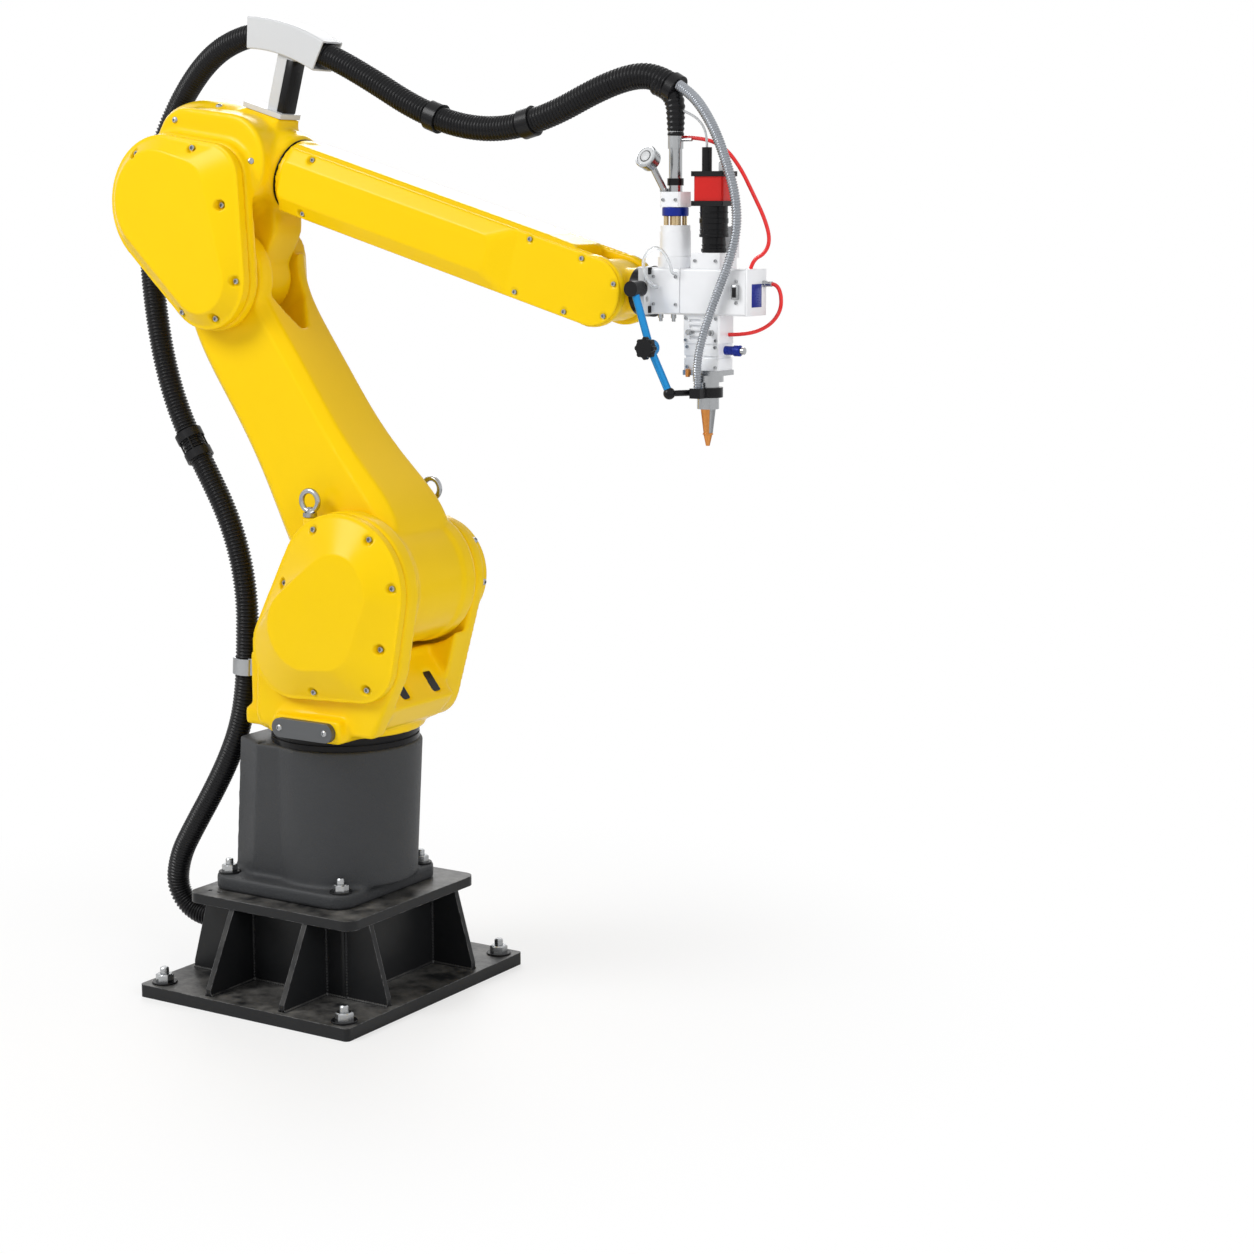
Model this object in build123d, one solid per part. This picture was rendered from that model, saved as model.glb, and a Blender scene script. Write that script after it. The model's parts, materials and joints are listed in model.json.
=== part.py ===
"""Six-axis welding robot on a bolted pedestal, with its dress pack and a wire-fed welding head."""
import os
from math import atan2, cos, hypot, pi, radians, sin, sqrt, tan

from build123d import *

os.makedirs("parts", exist_ok=True)

# Overall pose, side view: X forward, Z up, the near side is -Y
turn_x = 40.0
shoulder_x = 165.0
shoulder_rise = 305.7
arm_length = 681.0
arm_lean = 30.2
elbow_offset = 227.0
elbow_to_wrist = 823.0
forearm_drop = 16.11
neck_seam = 66.0

# Shared clearances
seat_gap = 0.3
overrun = 5.0
bend_share = 0.45
quarter_turn = 90.0

# Pedestal
floor_plate_long = 534.0
floor_plate_width = 594.0
floor_plate_thick = 26.0
floor_plate_corner = 10.0
anchor_inset = 36.0
anchor_hole_radius = 11.0
riser_width = 300.0
riser_wall = 12.0
riser_height = 161.0
rib_thick = 12.0
rib_foot_reach = 134.0
rib_side_reach = 100.0
rib_head_reach = 58.0
rib_pitch_near = 188.0
rib_pitch_side = 286.0
rib_toe = 14.0
top_plate_width = 422.0
top_plate_thick = 20.0
top_plate_corner = 26.0
spare_hole_radius = 4.5
spare_hole_inset = 34.0
spare_hole_pitch = 24.0

# Robot base casting
foot_x = -18.0
foot_long = 342.0
foot_width = 332.0
foot_thick = 31.0
foot_corner = 40.0
foot_bolt_pitch = 288.0
foot_bolt_cross = 266.0
foot_bolt_radius = 9.0
column_radius = 142.0
column_top_radius = 156.0
column_height = 282.0
rear_box_reach = 186.0
rear_box_top_reach = 148.0
rear_box_half = 124.0
rear_box_top_half = 146.0
rear_box_cut = 78.0
rear_box_cut_side = 40.0
column_edge = 6.0
column_skirt = 12.0
shelf_hole_radius = 7.0
ring_radius = 150.0
ring_height = 26.0
ring_groove = 4.0

# Turret casting
turret_radius = 162.0
turret_flange = 40.0
turret_waist_radius = 148.0
turret_waist_rise = 84.0
turret_rear = 112.0
turret_rear_rise = 150.0
turret_core_drop = 100.0
turret_core_far = 84.0
ear_reach = 120.0
ear_side = 124.0
ear_long = 62.0
ear_wide = 44.0
ear_round = 9.0
ramp_reach = 229.0
ramp_rise = 102.0
ramp_up = 62.0
ramp_low = 40.0
ramp_slope = 52.0
ramp_chin = 14.0
chin_back = 36.0
chin_drop = 44.0
near_wall_in = 112.0
near_wall_out = 150.0
far_wall_in = 118.0
far_wall_out = 150.0
wall_radius = 151.0
far_wall_radius = 120.0
hub_radius = 135.0
hub_room = 7.0
ramp_window_long = 46.0
ramp_window_wide = 24.0
ramp_window_depth = 10.0
ramp_window_spread = 50.0
ramp_window_shift = -8.0
stop_plate_x = 80.0
stop_plate_long = 150.0
stop_plate_tall = 38.0
stop_plate_thick = 12.0
stop_boss_proud = 4.0
stop_boss_rim = 10.0

# Shoulder covers
cover_rim = 18.0
cover_rise = 34.0
cover_arc_radius = 149.0
far_cap_radius = 112.0
far_cap_thick = 28.0
far_cap_edge = 12.0

# Lifting eyes
eye_ring_radius = 20.0
eye_wire_radius = 5.5
eye_collar_radius = 14.0
eye_collar_height = 8.0
eye_boss_radius = 15.0
eye_boss_height = 18.0
near_eye_back = 98.0

# Lower arm
arm_half_top = 92.0
hub_ring = 10.0
hub_ring_step = 5.0
hub_waist_radius = 130.0
hub_band = 34.0
hub_band_radius = 134.0
fork_slot_half = 50.0
fork_slot_drop = 76.0
fork_valley_drop = 150.0
fork_valley_half = 10.0
fork_near_radius = 100.0
fork_far_radius = 72.0
fork_far_tip = 30.0
fork_far_tip_radius = 58.0

# Elbow casting and cover
lug_half = 44.0
lug_radius = 70.0
lug_boss_radius = 54.0
elbow_plate_in = 98.0
elbow_plate_out = 122.0
elbow_plate_grow = 4.0
elbow_cover_rim = 20.0
elbow_cover_rise = 23.0
housing_radius = 96.0
housing_rear = 285.0
housing_dome = 185.0
housing_front = 20.0
neck_shoulder_radius = 88.0
neck_radius = 72.0
neck_step = 8.0
neck_lip_radius = 79.0
neck_lip = 30.0
barrel_radius = 64.0
barrel_foot = 114.0
barrel_rise = 56.0
web_radius = 92.0
web_back = 150.0
web_back_radius = 74.0
web_shift = 36.0

# Conduit guide on the elbow
guide_plate_back = 80.0
guide_plate_front = 18.0
guide_plate_half = 30.0
guide_plate_thick = 10.0
guide_pad_half = 36.0
guide_pad_rise = 3.0
guide_post_x = -8.0
guide_post_long = 42.0
guide_post_wide = 38.0
guide_saddle_rise = 477.0
guide_saddle_crown = 10.0
guide_saddle_back = 104.0
guide_saddle_front = 78.0
guide_saddle_half_tall = 31.0
guide_saddle_half_wide = 30.5
guide_saddle_wall = 3.5

# Forearm
forearm_collar = 20.0
forearm_half_tall = 68.0
forearm_half_wide = 62.0
forearm_bevel = 18.0
fork_plate_radius = 65.0
fork_plate_slot = 44.5
fork_slot_back = 68.0
side_cover_thick = 6.0
side_cover_inset = 5.0
side_bulge_rise = 16.0
side_bulge_end = 178.0
side_bulge_bevel = 28.0
side_bulge_nose = 52.0

# Wrist
wrist_radius = 57.0
wrist_boss_radius = 42.0
wrist_reach = 84.0

# Welding head: flange, bracket and box, measured from the wrist axis
flange_radius = 46.0
flange_thick = 12.0
bracket_thick = 12.0
bracket_half_wide = 56.0
bracket_half_tall = 42.0
bracket_slot_radius = 5.0
bracket_slot_pitch = 14.0
head_lift = 2.0
box_long = 196.0
box_half_wide = 35.0
box_half_tall = 41.0
box_edge = 3.0
box_seam = 61.0
box_seam_width = 2.0
cap_long = 26.0
cap_round = 18.0

# Beam entry column on top of the box
entry_x = 140.0
entry_collar_radius = 31.0
entry_collar_tall = 21.0
entry_barrel_radius = 28.0
entry_barrel_tall = 45.0
entry_flange_radius = 27.0
entry_flange_tall = 10.0
post_count = 4
post_radius = 4.5
post_circle = 17.0
post_tall = 16.0
post_core_radius = 10.0
ring_blue_radius = 24.0
ring_blue_tall = 16.0
clamp_block_width = 43.0
clamp_block_tall = 27.0
clamp_block_edge = 4.0
plug_collar_radius = 12.5
plug_collar_tall = 11.0
plug_ring_radius = 14.5
plug_ring_tall = 13.0
plug_tube_radius = 12.0
plug_tube_tall = 52.0
plug_body_radius = 14.0
plug_body_tall = 31.0
plug_neck_radius = 11.5
plug_neck_tall = 42.0
lever_radius = 3.0
lever_long = 20.0
dial_radius = 21.0
dial_thick = 20.0
dial_stalk_radius = 6.0
dial_back = 28.0
dial_side = 47.0
dial_rise = 58.0
boot_radius = 26.5
boot_long = 16.0
boot_back = 10.0
boot_rise = 37.7
boot_slope = 29.5
boot_lead_radius = 13.0

# Camera on top of the box
camera_x = 220.0
camera_long = 60.0
camera_wide = 44.0
camera_tall = 43.0
camera_plate = 9.0
camera_plate_lip = 3.0
camera_lens_radius = 25.0
camera_lens_tip_radius = 21.0
camera_lens_tall = 82.0
camera_mount_wide = 60.0
camera_mount_tall = 28.0
camera_rail_thick = 12.0
camera_rail_gap = 2.0
camera_rail_rise = 46.0
camera_plug_radius = 9.0
camera_plug_tall = 42.0
camera_stub_radius = 4.0
camera_stub_tall = 16.0

# Focus stack below the box
focus_x = 210.0
focus_long = 75.0
focus_wide = 54.0
focus_tall = 51.0
focus_slot_tall = 5.0
focus_slot_depth = 4.0
focus_slot_count = 4
focus_slot_long = 24.0
cartridge_inset = 2.0
cartridge_tall = 48.0
cartridge_groove = 4.0
lock_radius = 8.0
lock_long = 18.0
lock_knob_radius = 10.0
lock_knob_long = 14.0
nozzle_flange_tall = 9.0
nozzle_ring_radius = 28.0
nozzle_ring_tall = 12.0
nozzle_barrel_radius = 20.0
nozzle_barrel_tall = 49.0
nozzle_cone_top = 13.4
nozzle_cone_tip = 8.0
nozzle_cone_tall = 47.0
nozzle_tip_radius = 3.5
nozzle_tip_tall = 20.0
nozzle_bore_radius = 1.5

# Locked support arm beside the head
arm_side = 80.0
arm_root_x = 102.0
arm_root_z = 7.0
arm_socket_radius = 14.0
arm_socket_tail = 12.0
arm_rod_radius = 7.0
arm_hinge_x = 136.0
arm_hinge_z = -97.0
arm_hinge_radius = 15.0
arm_hinge_thick = 16.0
arm_knob_radius = 17.0
arm_knob_thick = 14.0
arm_foot_x = 168.0
arm_foot_side = 66.0
arm_foot_z = -178.0
arm_end_radius = 11.0
arm_band_radius = 27.0
arm_band_tall = 18.0

# Conduit and hoses
conduit_radius = 23.5
conduit_gap = 0.5
gland_radius = 34.0
gland_flange_radius = 42.0
gland_long = 26.0
gland_flange_thick = 8.0
band_radius = 28.5
band_long = 26.0
clamp_band_radius = 28.5
clamp_band_long = 34.0
coupling_radius = 28.5
coupling_collar = 18.0
coupling_gap = 26.0
coupling_rod_radius = 4.0
coupling_rod_count = 6
feed_hose_radius = 9.0
red_hose_radius = 3.6
clear_tube_radius = 3.0

# Places worked out from the pose
lean = radians(arm_lean)
drop = radians(forearm_drop)
riser_top = floor_plate_thick + riser_height
deck = riser_top + top_plate_thick
foot_top = deck + foot_thick
column_top = foot_top + column_height
ring_top = column_top + ring_height
turret_floor = ring_top + seat_gap
shoulder_z = turret_floor + shoulder_rise
elbow_x = shoulder_x - arm_length * sin(lean)
elbow_z = shoulder_z + arm_length * cos(lean)
axis_x = elbow_x + elbow_offset * sin(drop)
axis_z = elbow_z + elbow_offset * cos(drop)
wrist_x = axis_x + elbow_to_wrist * cos(drop)
wrist_z = axis_z - elbow_to_wrist * sin(drop)
TURN = Pos(turn_x, 0, 0)
ARM = Location((shoulder_x, 0, shoulder_z), (0, -arm_lean, 0))
ELBOW = Location((elbow_x, 0, elbow_z), (0, forearm_drop, 0))
FOREARM = Location((axis_x, 0, axis_z), (0, forearm_drop, 0))
HEAD = Location((wrist_x, 0, wrist_z))
FLAT = (Align.CENTER, Align.CENTER, Align.MIN)

# Belt outlines, each disc given as shares of a carrying size: x, z, radius
near_wall_shares = (
    (0.0, 0.0, 1.0),
    (-0.83, -0.855, 0.655),
    (-1.30, -1.75, 0.25),
    (0.20, -1.75, 0.25),
    (0.276, -0.897, 0.566),
)
far_wall_shares = ((0.0, 0.0, 1.0), (-1.70, -1.80, 0.55), (-0.125, -1.892, 0.60))
cover_foot_shares = ((0.0, 0.0, 1.0), (-0.83, -0.855, 0.655), (0.276, -0.897, 0.566))
cover_face_shares = ((0.09, 0.02, 0.483), (-0.462, -0.497, 0.566), (-0.104, -0.60, 0.428))
elbow_foot_shares = ((0.0, 0.0, 1.0), (-0.35, 1.903, 0.70), (-1.427, 1.107, 1.34))
elbow_face_shares = ((0.0, -0.02, 0.66), (-0.825, 1.553, 0.583), (-1.456, 1.126, 1.01))
arm_section_shares = (
    (0.07, -0.90, 0.90, 0.94, 0.16),
    (0.25, -0.99, 0.86, 0.88, 0.17),
    (0.43, -0.95, 0.66, 0.81, 0.15),
    (0.64, -0.96, 0.56, 0.79, 0.15),
    (0.86, -1.00, 0.48, 0.81, 0.15),
    (1.00, -0.90, 0.70, 0.81, 0.15),
)


def along_y(radius, low, high, x, z):
    """Round bar along Y between two levels."""
    disc = Plane.XZ * Pos(x, z) * Circle(radius)
    return Pos(0, high, 0) * extrude(disc, amount=high - low)


def along_x(radius, low, high, y, z):
    """Round bar along X between two levels."""
    disc = Plane.YZ * Pos(y, z) * Circle(radius)
    return Pos(low, 0, 0) * extrude(disc, amount=high - low)


def upright(radius, low, high, x, y):
    """Round bar along Z between two levels."""
    return Pos(x, y, low) * Cylinder(radius, high - low, align=FLAT)


def block(x_low, x_high, y_low, y_high, z_low, z_high):
    """Box between its two corners."""
    middle = Pos((x_low + x_high) / 2, (y_low + y_high) / 2, z_low)
    return middle * Box(x_high - x_low, y_high - y_low, z_high - z_low, align=FLAT)


def rounded_plate(width, depth, thick, corner, low):
    """Flat plate with round corners, standing on a level."""
    return Pos(0, 0, low) * extrude(RectangleRounded(width, depth, corner), amount=thick)


def grid_of(pitch_x, pitch_y):
    """Four places at the corners of a rectangle."""
    return [(sx * pitch_x / 2, sy * pitch_y / 2) for sx in (-1, 1) for sy in (-1, 1)]


def scaled_discs(shares, size, x, z):
    """Discs of a belt from their shares of one size."""
    return [(x + size * sx, z + size * sz, size * sr) for sx, sz, sr in shares]


def grown(discs, extra):
    """The same discs with every radius larger by the same amount."""
    return [(x, z, radius + extra) for x, z, radius in discs]


def belt_normal(first, second):
    """Outward direction of the straight belt run from one disc to the next."""
    x1, z1, r1 = first
    x2, z2, r2 = second
    span = hypot(x2 - x1, z2 - z1)
    along_u, along_w = (x2 - x1) / span, (z2 - z1) / span
    tilt = (r1 - r2) / span
    side = sqrt(1 - tilt * tilt)
    return atan2(along_w * tilt - along_u * side, along_u * tilt + along_w * side)


def belt_face(discs):
    """Face inside a belt stretched round discs that are listed counterclockwise."""
    count = len(discs)
    normals = [belt_normal(discs[i], discs[(i + 1) % count]) for i in range(count)]
    edges = []
    for i, (x, z, radius) in enumerate(discs):
        start, end = normals[i - 1], normals[i]
        while end < start:
            end += 2 * pi
        corners = [(x + radius * cos(a), z + radius * sin(a)) for a in (start, (start + end) / 2, end)]
        edges.append(ThreePointArc(*corners))
        x2, z2, radius2 = discs[(i + 1) % count]
        edges.append(Line(corners[2], (x2 + radius2 * cos(end), z2 + radius2 * sin(end))))
    return make_face(edges)


def belt_slab(discs, low, high):
    """Slab with a belt outline in the side view, between two levels of Y."""
    return Pos(0, high, 0) * extrude(Plane.XZ * belt_face(discs), amount=high - low)


def belt_loft(discs, level, face_discs, face_level):
    """Tapered cover between two belt outlines at two levels of Y."""
    foot = Pos(0, level, 0) * (Plane.XZ * belt_face(discs))
    face = Pos(0, face_level, 0) * (Plane.XZ * belt_face(face_discs))
    return loft([foot, face], ruled=True)


def turned(points):
    """Solid of revolution about Z from points of radius and height."""
    return revolve(Plane.XZ * make_face(Polyline(*points, close=True)), Axis.Z)


def rod_between(start, end, radius):
    """Round rod between two points."""
    way = Vector(*end) - Vector(*start)
    return Plane(origin=start, z_dir=way) * Cylinder(radius, way.length, align=FLAT)


def floor_plate():
    """Thick plate that is anchored to the floor."""
    plate = rounded_plate(floor_plate_long, floor_plate_width, floor_plate_thick, floor_plate_corner, 0)
    for x, y in grid_of(floor_plate_long - 2 * anchor_inset, floor_plate_width - 2 * anchor_inset):
        plate -= upright(anchor_hole_radius, -overrun, floor_plate_thick + overrun, x, y)
    return plate


def riser_box():
    outer = rounded_plate(riser_width, riser_width, riser_height, riser_wall, floor_plate_thick)
    room = riser_width - 2 * riser_wall
    inner = rounded_plate(room, room, riser_height + 2 * overrun, riser_wall / 2, floor_plate_thick - overrun)
    entry = along_x(gland_radius + conduit_gap, -riser_width, 0, gland_y, gland_z)
    return outer - inner - entry


def one_rib(foot_reach):
    """Gusset whose foot reaches further out than its head, standing on the wall's plane at x = 0."""
    outline = Polyline(
        (0, 0),
        (foot_reach, 0),
        (foot_reach, rib_toe),
        (rib_head_reach, riser_height),
        (0, riser_height),
        close=True,
    )
    return Pos(0, rib_thick / 2, 0) * extrude(Plane.XZ * make_face(outline), amount=rib_thick)


def riser_ribs():
    """Two gussets on each wall of the riser."""
    foot = Pos(riser_width / 2, 0, floor_plate_thick)
    ribs = []
    for quarter in range(4):
        lengthwise = quarter % 2 == 0
        pitch = rib_pitch_side if lengthwise else rib_pitch_near
        rib = foot * one_rib(rib_side_reach if lengthwise else rib_foot_reach)
        for side in (-1, 1):
            ribs.append(Rot(0, 0, quarter_turn * quarter) * Pos(0, side * pitch / 2, 0) * rib)
    return Compound(ribs)


def riser_top_plate():
    plate = rounded_plate(top_plate_width, top_plate_width, top_plate_thick, top_plate_corner, riser_top)
    for x, y in grid_of(foot_bolt_pitch, foot_bolt_cross):
        plate -= upright(foot_bolt_radius, riser_top - overrun, deck + overrun, foot_x + x, y)
    corner = top_plate_width / 2 - spare_hole_inset
    for x in (-corner, spare_hole_pitch - corner):
        plate -= upright(spare_hole_radius, riser_top - overrun, deck + overrun, x, -corner)
    return plate


def rear_outline(reach, half, level):
    """Outline across the rear box with its two rear corners cut, on a level."""
    cut = -reach + rear_box_cut
    side = half - rear_box_cut_side
    points = [(turn_x, -half), (turn_x, half), (cut, half), (-reach, side), (-reach, -side), (cut, -half)]
    return Pos(0, 0, level) * make_face(Polyline(*points, close=True))


def base_casting():
    """Bolted foot and the round column with the box behind it."""
    foot = Pos(foot_x, 0, 0) * rounded_plate(foot_long, foot_width, foot_thick, foot_corner, deck)
    for x, y in grid_of(foot_bolt_pitch, foot_bolt_cross):
        foot -= upright(foot_bolt_radius, deck - overrun, foot_top + overrun, foot_x + x, y)
    column = TURN * Pos(0, 0, foot_top) * Cone(column_radius, column_top_radius, column_height, align=FLAT)
    low = rear_outline(rear_box_reach, rear_box_half, foot_top)
    high = rear_outline(rear_box_top_reach, rear_box_top_half, column_top)
    body = column + loft([low, high], ruled=True)
    hole_x = rear_box_cut - rear_box_top_reach
    hole_y = 2 * shelf_hole_radius - rear_box_top_half
    body -= upright(shelf_hole_radius, column_top - column_skirt, column_top + overrun, hole_x, hole_y)
    return foot + body


def slewing_ring():
    """Bearing ring with a groove, between the column and the turret."""
    half = ring_height / 2
    return TURN * turned([
        (ring_radius / 2, column_top),
        (ring_radius, column_top),
        (ring_radius, column_top + half - ring_groove / 2),
        (ring_radius - ring_groove, column_top + half - ring_groove / 2),
        (ring_radius - ring_groove, column_top + half + ring_groove / 2),
        (ring_radius, column_top + half + ring_groove / 2),
        (ring_radius, ring_top),
        (ring_radius / 2, ring_top),
    ])


def turret_skirt():
    """Round skirt that sits on the slewing ring and narrows upwards."""
    return TURN * turned([
        (0, turret_floor),
        (turret_radius, turret_floor),
        (turret_radius, turret_floor + turret_flange),
        (turret_waist_radius, turret_floor + turret_waist_rise),
        (0, turret_floor + turret_waist_rise),
    ])


def ramp_ends():
    """Upper and lower end of the sloping front, in the side view."""
    along_x_share, along_z_share = cos(radians(ramp_slope)), sin(radians(ramp_slope))
    middle_z = turret_floor + ramp_rise
    top = (ramp_reach - ramp_up * along_x_share, middle_z + ramp_up * along_z_share)
    return top, (ramp_reach + ramp_low * along_x_share, middle_z - ramp_low * along_z_share)


def turret_core():
    """Middle of the casting, with the sloping front that holds the two sockets."""
    top, low = ramp_ends()
    points = [
        (-turret_rear, turret_floor + turret_flange),
        (-turret_rear, turret_floor + turret_rear_rise),
        (shoulder_x - hub_radius, shoulder_z - turret_core_drop),
        (top[0], shoulder_z - turret_core_drop),
        top,
        low,
        (low[0] - chin_back, low[1] - chin_drop),
        (turn_x + turret_radius - ramp_chin, turret_floor + ramp_chin),
        (turn_x, turret_floor + ramp_chin),
    ]
    face = make_face(Polyline(*points, close=True))
    return Pos(0, turret_core_far, 0) * extrude(Plane.XZ * face, amount=turret_core_far + near_wall_in)


def ramp_frame(side):
    """Frame on the sloping front at one of its two sockets, Z pointing out of the slope."""
    top, low = ramp_ends()
    middle = Vector(ramp_reach, ramp_window_shift + side * ramp_window_spread, turret_floor + ramp_rise)
    way = Vector(low[0] - top[0], 0, low[1] - top[1]).normalized()
    return Plane(origin=middle, x_dir=way, z_dir=Vector(-way.Z, 0, way.X))


def ramp_socket(side, extra):
    pocket = Box(ramp_window_long + 2 * extra, ramp_window_wide + 2 * extra, 2 * ramp_window_depth)
    return ramp_frame(side) * pocket


def stop_boss_place():
    """Place of the boss that carries the stop plate, on the near side of the skirt."""
    return Pos(stop_plate_x, -turret_radius, turret_floor + stop_plate_tall / 2 + stop_boss_rim / 2)


def turret_ear():
    """Small lug at the near rear corner of the foot."""
    lug = block(-ear_reach, ear_long - ear_reach, -ear_side, ear_wide - ear_side,
                turret_floor + stop_boss_rim / 2, turret_floor + turret_flange)
    return fillet(lug.edges().filter_by(Axis.Z), ear_round)


def turret_casting():
    """Turning casting with a near and a far wall that carry the lower arm's hub."""
    near_discs = scaled_discs(near_wall_shares, wall_radius, shoulder_x, shoulder_z)
    far_discs = scaled_discs(far_wall_shares, far_wall_radius, shoulder_x, shoulder_z)
    near = belt_slab(near_discs, -near_wall_out, -near_wall_in)
    far = belt_slab(far_discs, far_wall_in, far_wall_out)
    hub_space = along_y(hub_radius + hub_room, -near_wall_in, far_wall_in, shoulder_x, shoulder_z)
    span = 2 * arm_length
    skirt_top = block(-span, span, -span, span, turret_floor + ramp_chin, 2 * shoulder_z)
    below_hub = block(-span, span, -span, span, turret_floor + ramp_chin, shoulder_z - turret_core_drop)
    far_foot = belt_slab(far_discs, turret_core_far, far_wall_in) & below_hub
    body = ((near + far) & skirt_top) + far_foot + turret_core() + turret_skirt() + turret_ear() - hub_space
    for x, y, radius in eye_places():
        base = shoulder_z + sqrt(radius * radius - (x - shoulder_x) ** 2)
        body += upright(eye_boss_radius, base - 2 * eye_boss_height, base + eye_boss_height, x, y)
    for side in (-1, 1):
        body -= ramp_socket(side, 0)
    boss = stop_boss_place() * Box(stop_plate_long + 2 * stop_boss_rim, 2 * (stop_boss_proud + stop_boss_rim),
                                   stop_plate_tall + stop_boss_rim)
    root = stop_boss_place() * Pos(0, turret_radius / 4, 0) * Box(
        stop_plate_long + 2 * stop_boss_rim, turret_radius / 2, stop_plate_tall + stop_boss_rim)
    boss = fillet((boss + root).edges().filter_by(Axis.Y), stop_boss_rim)
    return body + boss - hub_space


def ramp_sockets():
    plugs = [ramp_socket(side, -seat_gap) & (ramp_frame(side) * Pos(0, 0, -ramp_window_depth) *
             Box(ramp_window_long, ramp_window_wide, 1.5 * ramp_window_depth)) for side in (-1, 1)]
    return Compound(plugs)


def stop_plate():
    face = stop_boss_place() * Pos(0, -stop_boss_proud - stop_boss_rim - stop_plate_thick / 2, 0)
    plate = extrude(Plane.XZ * SlotOverall(stop_plate_long, stop_plate_tall), amount=stop_plate_thick / 2, both=True)
    return face * plate


def shoulder_cover():
    foot = scaled_discs(cover_foot_shares, cover_arc_radius, shoulder_x, shoulder_z)
    face = scaled_discs(cover_face_shares, cover_arc_radius, shoulder_x, shoulder_z)
    rim = belt_slab(foot, -near_wall_out - cover_rim, -near_wall_out)
    dome = belt_loft(grown(foot, -cover_rim / 3), -near_wall_out - cover_rim,
                     face, -near_wall_out - cover_rim - cover_rise)
    return rim + dome


def far_shoulder_cap():
    cap = along_y(far_cap_radius, far_wall_out, far_wall_out + far_cap_thick, shoulder_x, shoulder_z)
    return chamfer(cap.faces().sort_by(Axis.Y)[-1].edges(), far_cap_edge)


def eye_places():
    near = (shoulder_x - near_eye_back, -(near_wall_in + near_wall_out) / 2, wall_radius)
    far = (shoulder_x, (far_wall_in + far_wall_out) / 2, far_wall_radius)
    return [near, far]


def lifting_eyes():
    eyes = []
    for x, y, radius in eye_places():
        base = shoulder_z + sqrt(radius * radius - (x - shoulder_x) ** 2) + eye_boss_height
        collar = upright(eye_collar_radius, base, base + eye_collar_height, x, y)
        neck = upright(eye_wire_radius, base, base + eye_collar_height + 2 * eye_wire_radius, x, y)
        middle = base + eye_collar_height + eye_ring_radius + eye_wire_radius / 2
        ring = Pos(x, y, middle) * Rot(90, 0, 0) * Torus(eye_ring_radius, eye_wire_radius)
        eyes.append(collar + neck + ring)
    return Compound(eyes)


def bevelled_section(share):
    """One eight-sided section across the lower arm, in the arm's own frame."""
    along, back, front, half, bevel = share
    x_low, x_high = back * hub_radius, front * hub_radius
    y_half = half * near_wall_in
    cut = bevel * hub_radius
    points = [
        (x_low + cut, -y_half), (x_high - cut, -y_half), (x_high, cut - y_half), (x_high, y_half - cut),
        (x_high - cut, y_half), (x_low + cut, y_half), (x_low, y_half - cut), (x_low, cut - y_half),
    ]
    return Pos(0, 0, along * arm_length) * make_face(Polyline(*points, close=True))


def fork_slot():
    """Gap between the fork's branches, closing to a narrow valley below the elbow axis."""
    top = 2 * arm_length
    level = arm_length - fork_slot_drop
    low = arm_length - fork_valley_drop
    outline = Polyline(
        (-fork_valley_half, low),
        (fork_valley_half, low),
        (fork_slot_half, level),
        (fork_slot_half, top),
        (-fork_slot_half, top),
        (-fork_slot_half, level),
        close=True,
    )
    return Pos(-arm_length, 0, 0) * extrude(Plane.YZ * make_face(outline), amount=2 * arm_length)


def hub_barrel():
    """Turned hub on the shoulder axis, with a ring at the near end and a band at the far end."""
    near, far = seat_gap - near_wall_in, far_wall_in - seat_gap
    profile = [
        (0, near),
        (hub_radius - hub_ring_step, near),
        (hub_radius - hub_ring_step, near + hub_ring),
        (hub_radius, near + hub_ring),
        (hub_radius, near + 2 * hub_ring),
        (hub_waist_radius, near + 2 * hub_ring + hub_ring_step),
        (hub_waist_radius, far - hub_band - 2 * hub_ring - hub_ring_step),
        (hub_band_radius, far - hub_band - 2 * hub_ring),
        (hub_band_radius, far - 2 * hub_ring),
        (far_wall_radius, far - hub_ring),
        (far_wall_radius, far),
        (0, far),
    ]
    return Rot(-90, 0, 0) * turned(profile)


def lower_arm_casting():
    shaft = loft([bevelled_section(share) for share in arm_section_shares])
    near = along_y(fork_near_radius, -arm_half_top, -fork_slot_half, 0, arm_length)
    far = belt_slab([(0, arm_length, fork_far_radius), (fork_far_tip, arm_length + fork_far_tip, fork_far_tip_radius)],
                    fork_slot_half, arm_half_top)
    return ARM * (shaft + hub_barrel() + near + far - fork_slot())


def elbow_discs():
    return scaled_discs(elbow_foot_shares, fork_near_radius, 0, 0)


def housing_profile():
    """Half outline of the housing round the forearm axis, radius over place along the axis."""
    dome_x = -housing_rear + housing_dome
    dome = EllipticalCenterArc((dome_x, 0), housing_dome, housing_radius,
                               start_angle=quarter_turn, arc_size=quarter_turn)
    front = Polyline(
        (dome_x, housing_radius),
        (-housing_front, housing_radius),
        (-housing_front + neck_step, neck_shoulder_radius),
        (neck_seam - neck_lip, neck_lip_radius),
        (neck_seam - neck_step, neck_lip_radius),
        (neck_seam, neck_radius),
        (neck_seam, 0),
        (-housing_rear, 0),
    )
    return make_face([dome] + front.edges())


def elbow_barrel():
    """Round stem that widens from the lug up to the housing."""
    return turned([
        (0, 0),
        (lug_half, 0),
        (lug_half, barrel_foot),
        (barrel_radius, barrel_foot + barrel_rise),
        (barrel_radius, elbow_offset),
        (0, elbow_offset),
    ])


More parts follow.
